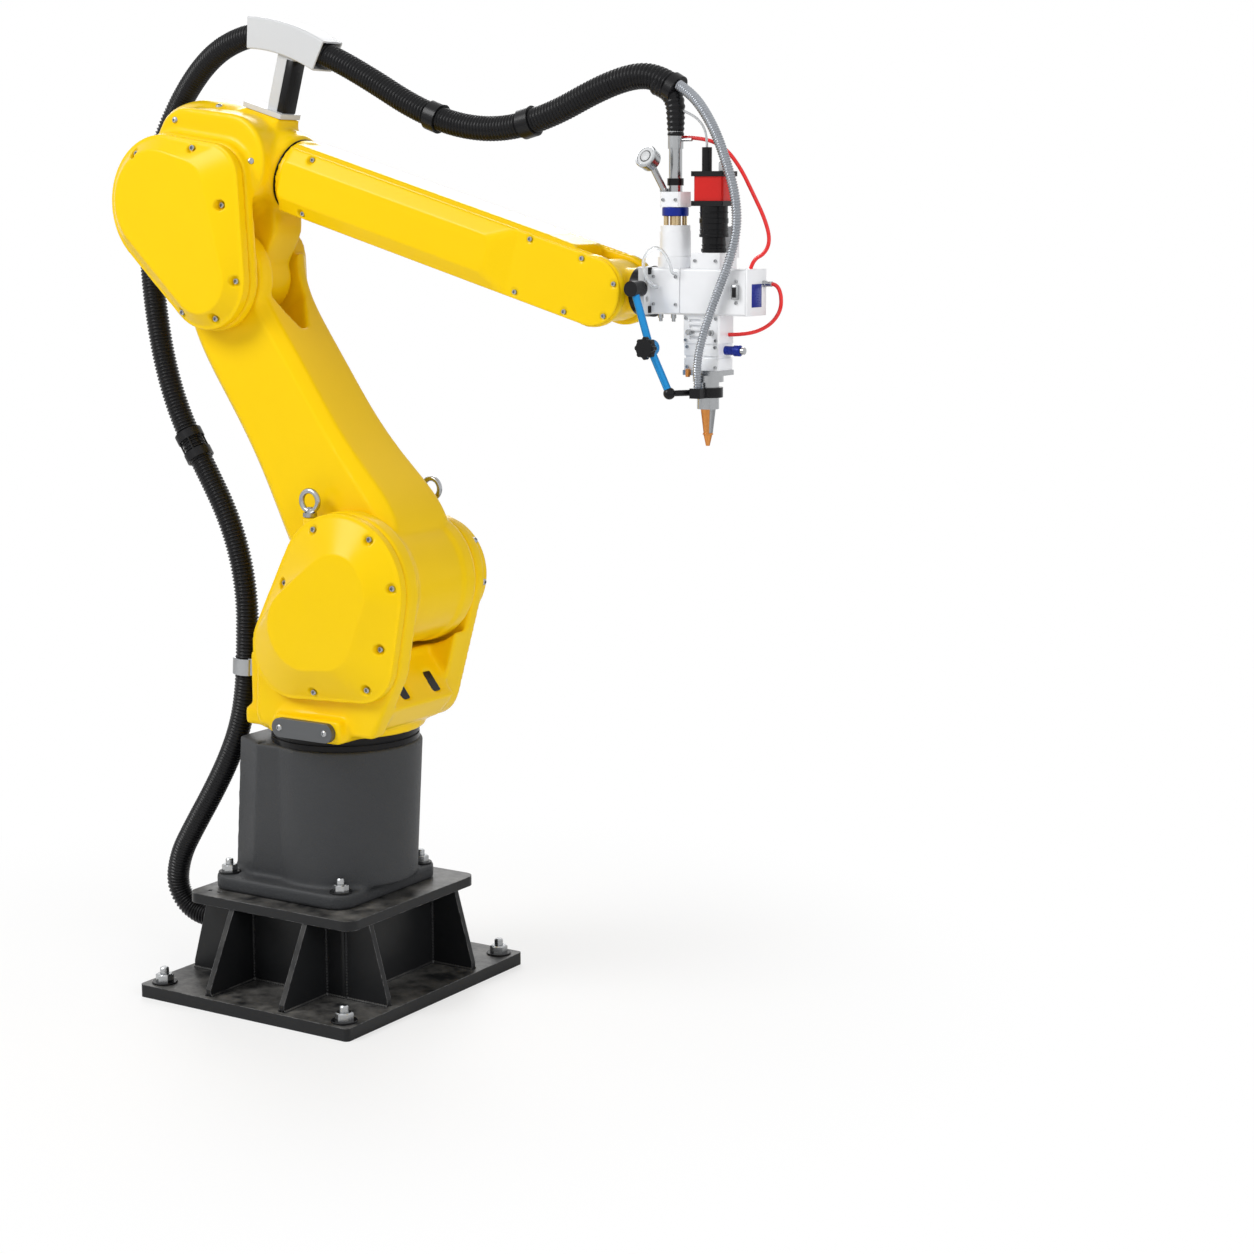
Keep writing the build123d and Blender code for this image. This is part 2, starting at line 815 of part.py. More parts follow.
def elbow_casting():
    housing = Pos(0, 0, elbow_offset) * revolve(Plane.XZ * housing_profile(), Axis.X)
    plate = belt_slab(grown(elbow_discs(), elbow_plate_grow), -elbow_plate_out, -elbow_plate_in)
    web = belt_slab([(-web_shift, elbow_offset, web_radius), (-web_back, elbow_offset, web_back_radius)],
                    -elbow_plate_in, -lug_half)
    lug = along_y(lug_radius, -lug_half, lug_half, 0, 0)
    boss = fork_slot_half - seat_gap
    lug += along_y(lug_boss_radius, -boss, boss, 0, 0)
    stem = belt_slab([(0, 0, lug_half), (0, barrel_foot, lug_radius)], -lug_half, lug_half)
    pad = block(-guide_plate_back, guide_plate_front, -guide_pad_half, guide_pad_half,
                elbow_offset, elbow_offset + housing_radius + guide_pad_rise)
    return ELBOW * (housing + plate + web + lug + stem + elbow_barrel() + pad)


def elbow_side_cover():
    foot = elbow_discs()
    face = scaled_discs(elbow_face_shares, fork_near_radius, 0, 0)
    rim_level = -elbow_plate_out - elbow_cover_rim
    rim = belt_slab(foot, rim_level, -elbow_plate_out)
    dome = belt_loft(grown(foot, -elbow_cover_rim / 3), rim_level, face, rim_level - elbow_cover_rise)
    return ELBOW * (rim + dome)


def guide_post():
    low = elbow_offset + housing_radius + guide_pad_rise
    plate = block(-guide_plate_back, guide_plate_front, -guide_plate_half, guide_plate_half,
                  low, low + guide_plate_thick)
    middle = (guide_saddle_front - guide_saddle_back) / 2
    off_share = (guide_post_long / 2 + guide_post_x - middle) / (guide_saddle_front - middle)
    top = guide_saddle_rise - guide_saddle_half_tall - guide_saddle_crown * off_share * off_share - seat_gap
    post = Pos(guide_post_x, 0, low + guide_plate_thick) * Box(
        guide_post_long, guide_post_wide, top - low - guide_plate_thick, align=FLAT)
    return ELBOW * (plate + fillet(post.edges().filter_by(Axis.Z), guide_saddle_wall))


def saddle_path():
    middle = (guide_saddle_front - guide_saddle_back) / 2
    return Plane.XZ * ThreePointArc(
        (-guide_saddle_back, guide_saddle_rise - guide_saddle_crown),
        (middle, guide_saddle_rise),
        (guide_saddle_front, guide_saddle_rise - guide_saddle_crown),
    )


def guide_saddle():
    path = saddle_path()
    start = Plane(origin=path @ 0, z_dir=path % 0, x_dir=(0, 1, 0))
    outer = start * RectangleRounded(2 * guide_saddle_half_wide, 2 * guide_saddle_half_tall, guide_saddle_wall)
    wall = 2 * guide_saddle_wall
    inner = start * Rectangle(2 * guide_saddle_half_wide - wall, 2 * guide_saddle_half_tall - wall)
    tube = sweep(outer, path=path) - sweep(inner, path=path)
    return ELBOW * tube


def forearm_section(half_tall, half_wide, bevel, place):
    points = [
        (bevel - half_wide, -half_tall), (half_wide - bevel, -half_tall),
        (half_wide, bevel - half_tall), (half_wide, half_tall - bevel),
        (half_wide - bevel, half_tall), (bevel - half_wide, half_tall),
        (-half_wide, half_tall - bevel), (-half_wide, bevel - half_tall),
    ]
    return Pos(place, 0, 0) * (Plane.YZ * make_face(Polyline(*points, close=True)))


def forearm_body():
    start = neck_seam + seat_gap
    collar = along_x(neck_radius, start, start + forearm_collar, 0, 0)
    tube_start = start + forearm_collar - overrun
    section = forearm_section(forearm_half_tall, forearm_half_wide, forearm_bevel, tube_start)
    tube = extrude(section, amount=elbow_to_wrist - tube_start)
    nose = along_y(fork_plate_radius, -forearm_half_wide, forearm_half_wide, elbow_to_wrist, 0)
    nose_blend = [(elbow_to_wrist, 0, fork_plate_radius),
                  (elbow_to_wrist - 2 * fork_plate_radius, 0, forearm_half_tall - seat_gap)]
    outline = belt_slab(nose_blend, -forearm_half_wide, forearm_half_wide)
    tail = block(start, elbow_to_wrist - 2 * fork_plate_radius, -forearm_half_wide, forearm_half_wide,
                 -forearm_half_tall, forearm_half_tall)
    tube = (tube & (outline + tail)) + (nose & outline)
    slot = block(elbow_to_wrist - fork_slot_back, elbow_to_wrist + 2 * fork_plate_radius,
                 -fork_plate_slot, fork_plate_slot, -2 * forearm_half_tall, 2 * forearm_half_tall)
    return FOREARM * (collar + tube - slot)


def side_cover(side):
    """Long cover with a bevelled bulge and a flat round-nosed end, on one side of the forearm."""
    tall = forearm_half_tall - side_cover_inset
    start = neck_seam + seat_gap + forearm_collar
    nose = (elbow_to_wrist, 0, fork_plate_radius - side_cover_inset / 2)
    discs = [nose, (start + tall, 0, tall)]
    plate = belt_slab(discs, -side_cover_thick, 0)
    plate += block(start, start + tall, -side_cover_thick, 0, -tall, tall)
    bulge_end = elbow_to_wrist - side_bulge_end
    low = Pos((start + bulge_end) / 2, 0) * RectangleRounded(bulge_end - start, 2 * tall, side_bulge_bevel / 2)
    flat_end = bulge_end - side_bulge_nose
    high_tall = 2 * (tall - side_bulge_bevel)
    high = Pos((start + flat_end) / 2, 0) * RectangleRounded(flat_end - start, high_tall, side_bulge_bevel / 2)
    foot = Pos(0, -side_cover_thick, 0) * (Plane.XZ * low)
    face = Pos(0, -side_cover_thick - side_bulge_rise, 0) * (Plane.XZ * high)
    cover = Pos(0, -forearm_half_wide, 0) * (plate + loft([foot, face], ruled=True))
    if side > 0:
        cover = mirror(cover, about=Plane.XZ)
    return FOREARM * cover


def wrist_housing():
    half = fork_plate_slot - seat_gap
    barrel = along_y(wrist_radius, -half, half, 0, 0)
    boss = along_x(wrist_boss_radius, 0, wrist_reach, 0, 0)
    return HEAD * (barrel + boss)


def bracket_x():
    return wrist_reach + seat_gap + flange_thick


def box_x():
    return bracket_x() + bracket_thick


def tool_flange():
    return HEAD * along_x(flange_radius, wrist_reach + seat_gap, bracket_x(), 0, 0)


def head_bracket():
    plate = block(bracket_x(), box_x(), -bracket_half_wide, bracket_half_wide,
                  head_lift - bracket_half_tall, head_lift + bracket_half_tall)
    for rise in (-1, 1):
        hole = along_x(bracket_slot_radius, bracket_x() - overrun, box_x() + overrun,
                       -(box_half_wide + bracket_half_wide) / 2, head_lift + rise * bracket_slot_pitch)
        plate -= hole
    return HEAD * plate


def head_box():
    low, high = head_lift - box_half_tall, head_lift + box_half_tall
    box = block(box_x(), box_x() + box_long, -box_half_wide, box_half_wide, low, high)
    box = chamfer(box.edges().filter_by(Axis.X), box_edge)
    seam = box_x() + box_seam
    outer = block(seam, seam + box_seam_width, -2 * box_half_wide, 2 * box_half_wide, 2 * low, 2 * high)
    inset = box_seam_width
    inner = block(seam, seam + box_seam_width, inset - box_half_wide, box_half_wide - inset, low + inset, high - inset)
    return HEAD * (box - (outer - inner))


def head_end_cap():
    start = box_x() + box_long
    low, high = head_lift - box_half_tall, head_lift + box_half_tall
    cap = block(start, start + cap_long, -box_half_wide, box_half_wide, low, high)
    top_front = cap.edges().filter_by(Axis.Y).group_by(Axis.X)[-1]
    return HEAD * fillet(top_front, cap_round)


def entry_levels():
    """Heights of the stacked pieces of the beam entry, from the box top upwards."""
    steps = [entry_collar_tall, entry_barrel_tall, entry_flange_tall, post_tall, ring_blue_tall, clamp_block_tall,
             plug_collar_tall, plug_ring_tall, plug_tube_tall, plug_body_tall, plug_neck_tall]
    levels = [head_lift + box_half_tall]
    for step in steps:
        levels.append(levels[-1] + step)
    return levels


def entry_barrel():
    level = entry_levels()
    collar = upright(entry_collar_radius, level[0], level[1], entry_x, 0)
    barrel = upright(entry_barrel_radius, level[1], level[2], entry_x, 0)
    flange = upright(entry_flange_radius, level[2], level[3], entry_x, 0)
    return HEAD * (collar + barrel + flange)


def entry_posts():
    level = entry_levels()
    core = upright(post_core_radius, level[3], level[4], entry_x, 0)
    posts = [core]
    for place in PolarLocations(post_circle, post_count, 45):
        spot = place.position
        posts.append(upright(post_radius, level[3], level[4], entry_x + spot.X, spot.Y))
    return HEAD * Compound(posts)


def entry_ring():
    level = entry_levels()
    ring = upright(ring_blue_radius, level[4], level[5], entry_x, 0)
    return HEAD * chamfer(ring.edges().filter_by(GeomType.CIRCLE), box_edge / 2)


def fibre_clamp_block():
    level = entry_levels()
    half = clamp_block_width / 2
    body = block(entry_x - half, entry_x + half, -half, half, level[5], level[6])
    return HEAD * chamfer(body.edges().filter_by(Axis.Z), clamp_block_edge)


def fibre_plug():
    level = entry_levels()
    radii = (plug_collar_radius, plug_ring_radius, plug_tube_radius, plug_body_radius, plug_neck_radius)
    plug = upright(radii[0], level[6], level[7], entry_x, 0)
    for step, radius in enumerate(radii[1:]):
        plug += upright(radius, level[7 + step], level[8 + step], entry_x, 0)
    lever_z = (level[9] + level[10]) / 2
    plug += along_x(lever_radius, entry_x, entry_x + plug_body_radius + lever_long, 0, lever_z)
    return HEAD * plug


def dial_cap():
    level = entry_levels()
    corner = Vector(entry_x - clamp_block_width / 3, -clamp_block_width / 2 + dial_stalk_radius, level[6])
    hub = Vector(entry_x - dial_back, -dial_side, level[6] + dial_rise)
    stalk = rod_between(tuple(corner), tuple(hub), dial_stalk_radius)
    facing = Vector(-dial_back, -2 * dial_side, dial_rise / 2).normalized()
    drum = Plane(origin=hub - facing * (dial_thick / 2), z_dir=facing) * Cylinder(dial_radius, dial_thick, align=FLAT)
    foot = block(corner.X - dial_stalk_radius, corner.X + dial_stalk_radius,
                 corner.Y - dial_stalk_radius, corner.Y + dial_stalk_radius, level[6], level[6] + dial_stalk_radius)
    upper = block(0, 2 * entry_x, -2 * entry_x, 2 * entry_x, level[6], level[-1])
    return HEAD * ((stalk + drum + foot) & upper)


def camera_levels():
    low = head_lift + box_half_tall
    mount = low + camera_mount_tall
    lens = mount + camera_lens_tall
    body = lens + camera_plate
    lid = body + camera_tall
    return low, mount, lens, body, lid, lid + camera_plate


def camera_body():
    low, mount, lens, body, lid, top = camera_levels()
    box = block(camera_x - camera_long / 2, camera_x + camera_long / 2, -camera_wide / 2, camera_wide / 2, body, lid)
    return HEAD * chamfer(box.edges().filter_by(Axis.Z), box_edge)


def camera_plates():
    low, mount, lens, body, lid, top = camera_levels()
    half_x = camera_long / 2 + camera_plate_lip
    half_y = camera_wide / 2 + camera_plate_lip
    lower = block(camera_x - half_x, camera_x + half_x, -half_y, half_y, lens, body)
    upper = block(camera_x - half_x, camera_x + half_x, -half_y, half_y, lid, top)
    plug_x = camera_x - camera_long / 4
    upper += upright(camera_plug_radius, top, top + camera_plug_tall, plug_x, 0)
    upper += upright(camera_stub_radius, top, top + camera_stub_tall, camera_x + camera_long / 4, 0)
    return HEAD * Compound([lower, upper])


def camera_lens():
    low, mount, lens, body, lid, top = camera_levels()
    third = camera_lens_tall / 3
    return HEAD * Pos(camera_x, 0, 0) * turned([
        (0, mount),
        (camera_lens_tip_radius, mount),
        (camera_lens_tip_radius, mount + third),
        (camera_lens_radius, mount + third),
        (camera_lens_radius, lens),
        (0, lens),
    ])


def camera_mount():
    low, mount, lens, body, lid, top = camera_levels()
    half_x = camera_long / 2
    half_y = camera_mount_wide / 2
    seat = block(camera_x - half_x, camera_x + half_x, -half_y, half_y, low, mount)
    rail_y = camera_lens_radius + camera_rail_gap
    rail = block(camera_x - half_x, camera_x + half_x, rail_y, rail_y + camera_rail_thick,
                 mount - camera_plate, mount + camera_rail_rise)
    return HEAD * (seat + rail)


def focus_levels():
    top = head_lift - box_half_tall
    cartridge = top - focus_tall
    flange = cartridge - cartridge_tall
    ring = flange - nozzle_flange_tall
    barrel = ring - nozzle_ring_tall
    cone = barrel - nozzle_barrel_tall
    tip = cone - nozzle_cone_tall
    return top, cartridge, flange, ring, barrel, cone, tip, tip - nozzle_tip_tall


def focus_module():
    top, cartridge, flange, ring, barrel, cone, tip, end = focus_levels()
    box = block(focus_x - focus_long / 2, focus_x + focus_long / 2, -focus_wide / 2, focus_wide / 2, cartridge, top)
    box = chamfer(box.edges().filter_by(Axis.Z), box_edge)
    pitch = focus_tall / (focus_slot_count + 1)
    for step in range(focus_slot_count):
        middle = cartridge + pitch * (step + 1)
        slot = block(focus_x - focus_slot_long, focus_x, -focus_wide / 2 - overrun, focus_slot_depth - focus_wide / 2,
                     middle - focus_slot_tall / 2, middle + focus_slot_tall / 2)
        box -= slot
    return HEAD * box


def lens_cartridge():
    top, cartridge, flange, ring, barrel, cone, tip, end = focus_levels()
    half_x = focus_long / 2 - cartridge_inset
    half_y = focus_wide / 2 - cartridge_inset
    box = block(focus_x - half_x, focus_x + half_x, -half_y, half_y, flange, cartridge)
    middle = (flange + cartridge) / 2
    ring_cut = block(focus_x - focus_long, focus_x + focus_long, -focus_wide, focus_wide,
                     middle - cartridge_groove / 2, middle + cartridge_groove / 2)
    core = block(focus_x - half_x + cartridge_inset, focus_x + half_x - cartridge_inset,
                 cartridge_inset - half_y, half_y - cartridge_inset, flange, cartridge)
    return HEAD * (box - (ring_cut - core))


def cartridge_lock():
    top, cartridge, flange, ring, barrel, cone, tip, end = focus_levels()
    start = focus_x + focus_long / 2 - cartridge_inset
    middle = (3 * cartridge + flange) / 4
    stem = along_x(lock_radius, start, start + lock_long, 0, middle)
    knob = along_x(lock_knob_radius, start + lock_long, start + lock_long + lock_knob_long, 0, middle)
    return HEAD * (stem + chamfer(knob.edges().filter_by(GeomType.CIRCLE), box_edge / 2))


def nozzle_barrel():
    top, cartridge, flange, ring, barrel, cone, tip, end = focus_levels()
    plate = block(focus_x - focus_long / 2, focus_x + focus_long / 2, -focus_wide / 2, focus_wide / 2, ring, flange)
    collar = upright(nozzle_ring_radius, barrel, ring, focus_x, 0)
    tube = upright(nozzle_barrel_radius, cone, barrel, focus_x, 0)
    body = plate + collar + tube
    return HEAD * (body - upright(nozzle_cone_tip / 2, cone - overrun, flange + overrun, focus_x, 0))


def nozzle_tip():
    top, cartridge, flange, ring, barrel, cone, tip, end = focus_levels()
    lip = box_edge
    return HEAD * Pos(focus_x, 0, 0) * turned([
        (nozzle_bore_radius, cone),
        (nozzle_cone_top, cone),
        (nozzle_cone_tip, tip + lip),
        (nozzle_cone_tip + lip / 2, tip + lip),
        (nozzle_cone_tip + lip / 2, tip),
        (nozzle_cone_tip, tip),
        (nozzle_tip_radius, end),
        (nozzle_bore_radius, end),
    ])


def arm_points():
    root = (arm_root_x, -arm_side, arm_root_z)
    hinge = (arm_hinge_x, -arm_side, arm_hinge_z)
    foot = (arm_foot_x, -arm_foot_side, arm_foot_z)
    return root, hinge, foot


def support_rods():
    root, hinge, foot = arm_points()
    upper = rod_between(root, hinge, arm_rod_radius)
    lower = rod_between(hinge, foot, arm_rod_radius)
    pivot = along_y(arm_hinge_radius, -arm_side - arm_hinge_thick / 2, -arm_side + arm_hinge_thick / 2,
                    arm_hinge_x, arm_hinge_z)
    ends = Pos(*root) * Sphere(arm_socket_radius) + Pos(*foot) * Sphere(arm_end_radius)
    return HEAD * (upper + lower + pivot - ends)


def support_joints():
    root, hinge, foot = arm_points()
    socket = along_y(arm_socket_radius, -arm_side - arm_socket_tail, -bracket_half_wide, arm_root_x, arm_root_z)
    knob_low = -arm_side - arm_hinge_thick / 2 - arm_knob_thick
    knob = along_y(arm_knob_radius, knob_low, knob_low + arm_knob_thick, arm_hinge_x, arm_hinge_z)
    band = upright(arm_band_radius, arm_foot_z - arm_band_tall / 2, arm_foot_z + arm_band_tall / 2, focus_x, 0)
    band -= upright(nozzle_barrel_radius, arm_foot_z - arm_band_tall, arm_foot_z + arm_band_tall, focus_x, 0)
    lug_y = nozzle_ring_radius + feed_hose_radius
    lug = block(focus_x - arm_end_radius, focus_x + arm_end_radius, -lug_y - arm_end_radius, 0,
                arm_foot_z - arm_band_tall / 2, arm_foot_z + arm_band_tall / 2)
    lug -= upright(nozzle_barrel_radius, arm_foot_z - arm_band_tall, arm_foot_z + arm_band_tall, focus_x, 0)
    reach = rod_between(foot, (focus_x, 0, arm_foot_z), arm_end_radius / 2)
    reach -= upright(nozzle_barrel_radius, arm_foot_z - arm_band_tall, arm_foot_z + arm_band_tall, focus_x, 0)
    end = Pos(*foot) * Sphere(arm_end_radius)
    rods = support_rods_local()
    return HEAD * Compound([socket - rods, knob, (band + lug + reach + end) - rods])


def support_rods_local():
    return HEAD.inverse() * support_rods()


# Routes of the conduit and hoses, chosen by eye; the conduit is held between one stretch and the next
gland_y = -40.0
gland_z = 104.0
conduit_stretches = [
    [(-150, -40, 104), (-244, -40, 104), (-334, -44, 100), (-384, -50, 150), (-368, -55, 226), (-318, -60, 300),
     (-266, -63, 374), (-214, -66, 456), (-176, -69, 536), (-158, -71, 618)],
    [(-152, -72, 702), (-150, -71, 790), (-166, -69, 880), (-200, -67, 966), (-254, -65, 1052)],
    [(-319, -62, 1148), (-361, -60, 1254), (-393, -50, 1376), (-422, -28, 1492), (-446, 4, 1600), (-440, 34, 1702),
     (-392, 42, 1790), (-312, 24, 1860), (-228, 4, 1900), (-140, 0, 1919)],
    [(-40, 0, 1896), (50, 0, 1862), (140, 0, 1818), (234, 0, 1767), (338, 0, 1730), (446, 0, 1722)],
    [(552, 0, 1748), (650, 0, 1792)],
    [(724, 0, 1814), (776, 0, 1812), (806, 0, 1795)],
]
conduit_route = [point for stretch in conduit_stretches for point in stretch]
conduit_cuts = [sum(map(len, conduit_stretches[:index])) - 1 for index in range(1, len(conduit_stretches))]
feed_hose_route = [
    (825.5, -8, 1796), (852, -10, 1781), (884, -18, 1752), (918, -28, 1706), (944, -36, 1652), (964, -42, 1600),
    (970, -46, 1545), (956, -48, 1488), (934, -50, 1436), (914, -52, 1384), (898, -52, 1334), (889, -46, 1298),
    (886, -38, 1280), (886, -38, 1261.6),
]
red_hose_routes = [
    [(836, 10, 1710), (872, 14, 1706), (908, 18, 1686), (936, 20, 1650), (956, 22, 1606), (976, 22, 1562),
     (990, 20, 1524), (984, 16, 1500), (976, 12, 1486), (976, 12, 1473.4)],
    [(1006.5, 14, 1440), (1020, 14, 1440), (1030, 16, 1422), (1028, 18, 1396), (1010, 18, 1374), (982, 14, 1360),
     (952, 8, 1356), (923.7, 8, 1356)],
]
clear_tube_routes = [
    [(800, -35.1, 1440), (800, -50, 1442), (790, -60, 1456), (786, -64, 1484), (796, -62, 1506), (814, -58, 1512),
     (830, -56, 1498), (838, -52, 1478), (838, -48, 1464), (838, -35.1, 1464)],
]


def bend_radii(points):
    """Largest safe bend at each inner point: 0.45 of the shorter run beside it."""
    radii = []
    for before, here, after in zip(points, points[1:], points[2:]):
        first = Vector(*here) - Vector(*before)
        second = Vector(*after) - Vector(*here)
        turn = radians(first.get_angle(second))
        radii.append(bend_share * min(first.length, second.length) / tan(turn / 2))
    return radii


def tube_along(points, radii, radius):
    """Round cord swept along straight runs joined by arcs."""
    path = FilletPolyline(*points, radius=radii)
    start = Plane(origin=path @ 0, z_dir=path % 0)
    return sweep(start * Circle(radius), path=path)


def middle_of(first, second):
    return tuple((a + b) / 2 for a, b in zip(first, second))


def conduit_section(index):
    """One stretch of the conduit, cut at the middle of the runs where it is held."""
    radii = bend_radii(conduit_route)
    first = 0 if index == 0 else conduit_cuts[index - 1] + 1
    last = conduit_cuts[index] if index < len(conduit_cuts) else len(conduit_route) - 1
    points = list(conduit_route[first:last + 1])
    inner = radii[max(first - 1, 0):last]
    if index > 0:
        points.insert(0, middle_of(conduit_route[first - 1], conduit_route[first]))
    if index < len(conduit_cuts):
        points.append(middle_of(conduit_route[last], conduit_route[last + 1]))
    else:
        inner = radii[first - 1:]
    return tube_along(points, inner, conduit_radius)


def cut_frame(cut):
    """Frame at the middle of a run that is held, Z along the run."""
    first, second = Vector(*conduit_route[cut]), Vector(*conduit_route[cut + 1])
    return Plane(origin=(first + second) * 0.5, z_dir=second - first)


def ring_at(frame, radius, long):
    collar = Cylinder(radius, long) - Cylinder(conduit_radius + conduit_gap, long + overrun)
    return frame * collar


def conduit_gland():
    wall = -riser_width / 2
    flange = along_x(gland_flange_radius, wall - gland_flange_thick, wall, gland_y, gland_z)
    nut = along_x(gland_radius, wall - gland_long, wall + riser_wall, gland_y, gland_z)
    bore = along_x(conduit_radius + conduit_gap, -riser_width, 0, gland_y, gland_z)
    return flange + nut - bore


def turret_clamp():
    frame = cut_frame(conduit_cuts[0])
    ring = ring_at(frame, clamp_band_radius, clamp_band_long)
    spot = frame.origin
    arm = block(spot.X, 0, spot.Y - clamp_band_long / 2, spot.Y + clamp_band_long / 2,
                spot.Z - clamp_band_long / 2, spot.Z + clamp_band_long / 2)
    arm -= frame * Cylinder(conduit_radius + conduit_gap, 4 * clamp_band_long)
    return (ring + arm) - turret_casting()


def conduit_coupling():
    frame = cut_frame(conduit_cuts[1])
    shift = (coupling_gap + coupling_collar) / 2
    rings = [ring_at(frame * Pos(0, 0, side * shift), coupling_radius, coupling_collar) for side in (-1, 1)]
    middle = (coupling_radius + conduit_radius + conduit_gap) / 2
    coupling = rings[0] + rings[1]
    for place in PolarLocations(middle, coupling_rod_count):
        coupling += frame * place * Cylinder(coupling_rod_radius / 2, coupling_gap + coupling_collar)
    return coupling


def conduit_bands():
    """Two bands wrapped round the conduit above the forearm."""
    last = conduit_cuts[3]
    return Compound([ring_at(cut_frame(cut), band_radius, band_long) for cut in (last - 2, last)])


def conduit_boot():
    """Cap on the conduit's end, with the lead that drops into the plug below it."""
    plug_top = entry_levels()[-1]
    end = Vector(entry_x - boot_back, 0, plug_top + boot_rise)
    way = Vector(cos(radians(boot_slope)), 0, -sin(radians(boot_slope)))
    cap = Plane(origin=end, z_dir=way) * Cylinder(boot_radius, boot_long, align=FLAT)
    lead = upright(boot_lead_radius, plug_top, plug_top + boot_rise - boot_long, entry_x, 0)
    behind = Plane(origin=end, z_dir=-way) * Cylinder(2 * boot_radius, 2 * boot_radius, align=FLAT)
    return HEAD * (cap + (lead - behind))


def feed_hose():
    return tube_along(feed_hose_route, bend_radii(feed_hose_route), feed_hose_radius)


def red_hoses():
    return Compound([tube_along(route, bend_radii(route), red_hose_radius) for route in red_hose_routes])


def clear_tubes():
    return Compound([tube_along(route, bend_radii(route), clear_tube_radius) for route in clear_tube_routes])


PIECES = {
    "floor_plate": floor_plate,
    "riser_box": riser_box,
    "riser_ribs": riser_ribs,
    "riser_top_plate": riser_top_plate,
    "base_casting": base_casting,
    "slewing_ring": slewing_ring,
    "conduit_gland": conduit_gland,
    "turret_casting": turret_casting,
    "shoulder_cover": shoulder_cover,
    "far_shoulder_cap": far_shoulder_cap,
    "lifting_eyes": lifting_eyes,
    "stop_plate": stop_plate,
    "ramp_sockets": ramp_sockets,
    "turret_clamp": turret_clamp,
    "lower_arm_casting": lower_arm_casting,
    "conduit_coupling": conduit_coupling,
    "elbow_casting": elbow_casting,
    "elbow_side_cover": elbow_side_cover,
    "guide_post": guide_post,
    "guide_saddle": guide_saddle,
    "forearm_body": forearm_body,
    "forearm_cover_near": lambda: side_cover(-1),
    "forearm_cover_far": lambda: side_cover(1),
    "conduit_bands": conduit_bands,
    "wrist_housing": wrist_housing,
    "tool_flange": tool_flange,
    "head_bracket": head_bracket,
    "head_box": head_box,
    "head_end_cap": head_end_cap,
    "entry_barrel": entry_barrel,
    "entry_posts": entry_posts,
    "entry_ring": entry_ring,
    "fibre_clamp_block": fibre_clamp_block,
    "fibre_plug": fibre_plug,
    "dial_cap": dial_cap,
    "camera_body": camera_body,
    "camera_plates": camera_plates,
    "camera_lens": camera_lens,
    "camera_mount": camera_mount,
    "focus_module": focus_module,
    "lens_cartridge": lens_cartridge,
    "cartridge_lock": cartridge_lock,
    "nozzle_barrel": nozzle_barrel,
    "nozzle_tip": nozzle_tip,
    "support_rods": support_rods,
    "support_joints": support_joints,
    "conduit_base_run": lambda: conduit_section(0),
    "conduit_turret_run": lambda: conduit_section(1),
    "conduit_arm_run": lambda: conduit_section(2),
    "conduit_elbow_run": lambda: conduit_section(3),
    "conduit_forearm_run": lambda: conduit_section(4),
    "conduit_wrist_run": lambda: conduit_section(5),
    "conduit_boot": conduit_boot,
    "feed_hose": feed_hose,
    "red_hoses": red_hoses,
    "clear_tubes": clear_tubes,
}

for name, route in (("conduit", conduit_route), ("feed hose", feed_hose_route)):
    print(name, "bend radii", [round(value) for value in bend_radii(route)])
for name, make in PIECES.items():
    export_step(make(), f"parts/{name}.step")
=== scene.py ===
"""Looks of a six-axis welding robot: castings, ribbed conduit, hoses, screws, bolts, welds and stage."""

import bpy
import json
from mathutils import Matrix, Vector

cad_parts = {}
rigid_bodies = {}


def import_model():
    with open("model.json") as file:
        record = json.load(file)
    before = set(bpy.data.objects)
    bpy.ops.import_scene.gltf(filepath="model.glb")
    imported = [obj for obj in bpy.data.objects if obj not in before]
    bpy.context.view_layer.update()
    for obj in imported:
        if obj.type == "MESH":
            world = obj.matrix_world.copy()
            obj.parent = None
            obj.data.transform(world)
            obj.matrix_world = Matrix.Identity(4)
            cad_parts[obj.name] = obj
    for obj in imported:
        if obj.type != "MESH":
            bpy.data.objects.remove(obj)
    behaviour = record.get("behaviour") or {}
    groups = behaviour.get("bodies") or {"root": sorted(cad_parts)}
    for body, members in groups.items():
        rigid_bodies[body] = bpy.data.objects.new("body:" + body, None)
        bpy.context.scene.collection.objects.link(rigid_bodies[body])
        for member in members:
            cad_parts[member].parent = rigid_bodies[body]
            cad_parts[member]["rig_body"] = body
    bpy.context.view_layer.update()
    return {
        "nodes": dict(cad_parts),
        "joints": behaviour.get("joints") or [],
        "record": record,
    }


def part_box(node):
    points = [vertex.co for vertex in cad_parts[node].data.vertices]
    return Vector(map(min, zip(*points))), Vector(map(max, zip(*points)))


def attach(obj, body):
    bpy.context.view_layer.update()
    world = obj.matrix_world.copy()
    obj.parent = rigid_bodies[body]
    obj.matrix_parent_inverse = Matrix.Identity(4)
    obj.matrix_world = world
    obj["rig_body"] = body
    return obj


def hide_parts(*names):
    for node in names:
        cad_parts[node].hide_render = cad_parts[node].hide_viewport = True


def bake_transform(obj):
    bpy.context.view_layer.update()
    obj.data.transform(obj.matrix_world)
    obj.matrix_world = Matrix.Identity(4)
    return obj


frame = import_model()

import json
from math import cos, pi, radians, sin, tau

import bmesh
import bpy
from bpy.props import FloatProperty, FloatVectorProperty, PointerProperty
from mathutils import Matrix, Vector

bl_info = {
    "name": "Welding robot looks",
    "version": (1, 0, 0),
    "blender": (4, 5, 0),
    "location": "View3D > Sidebar > Robot",
    "description": "Paints and dresses the packed welding robot and sets its stage",
    "category": "Object",
}

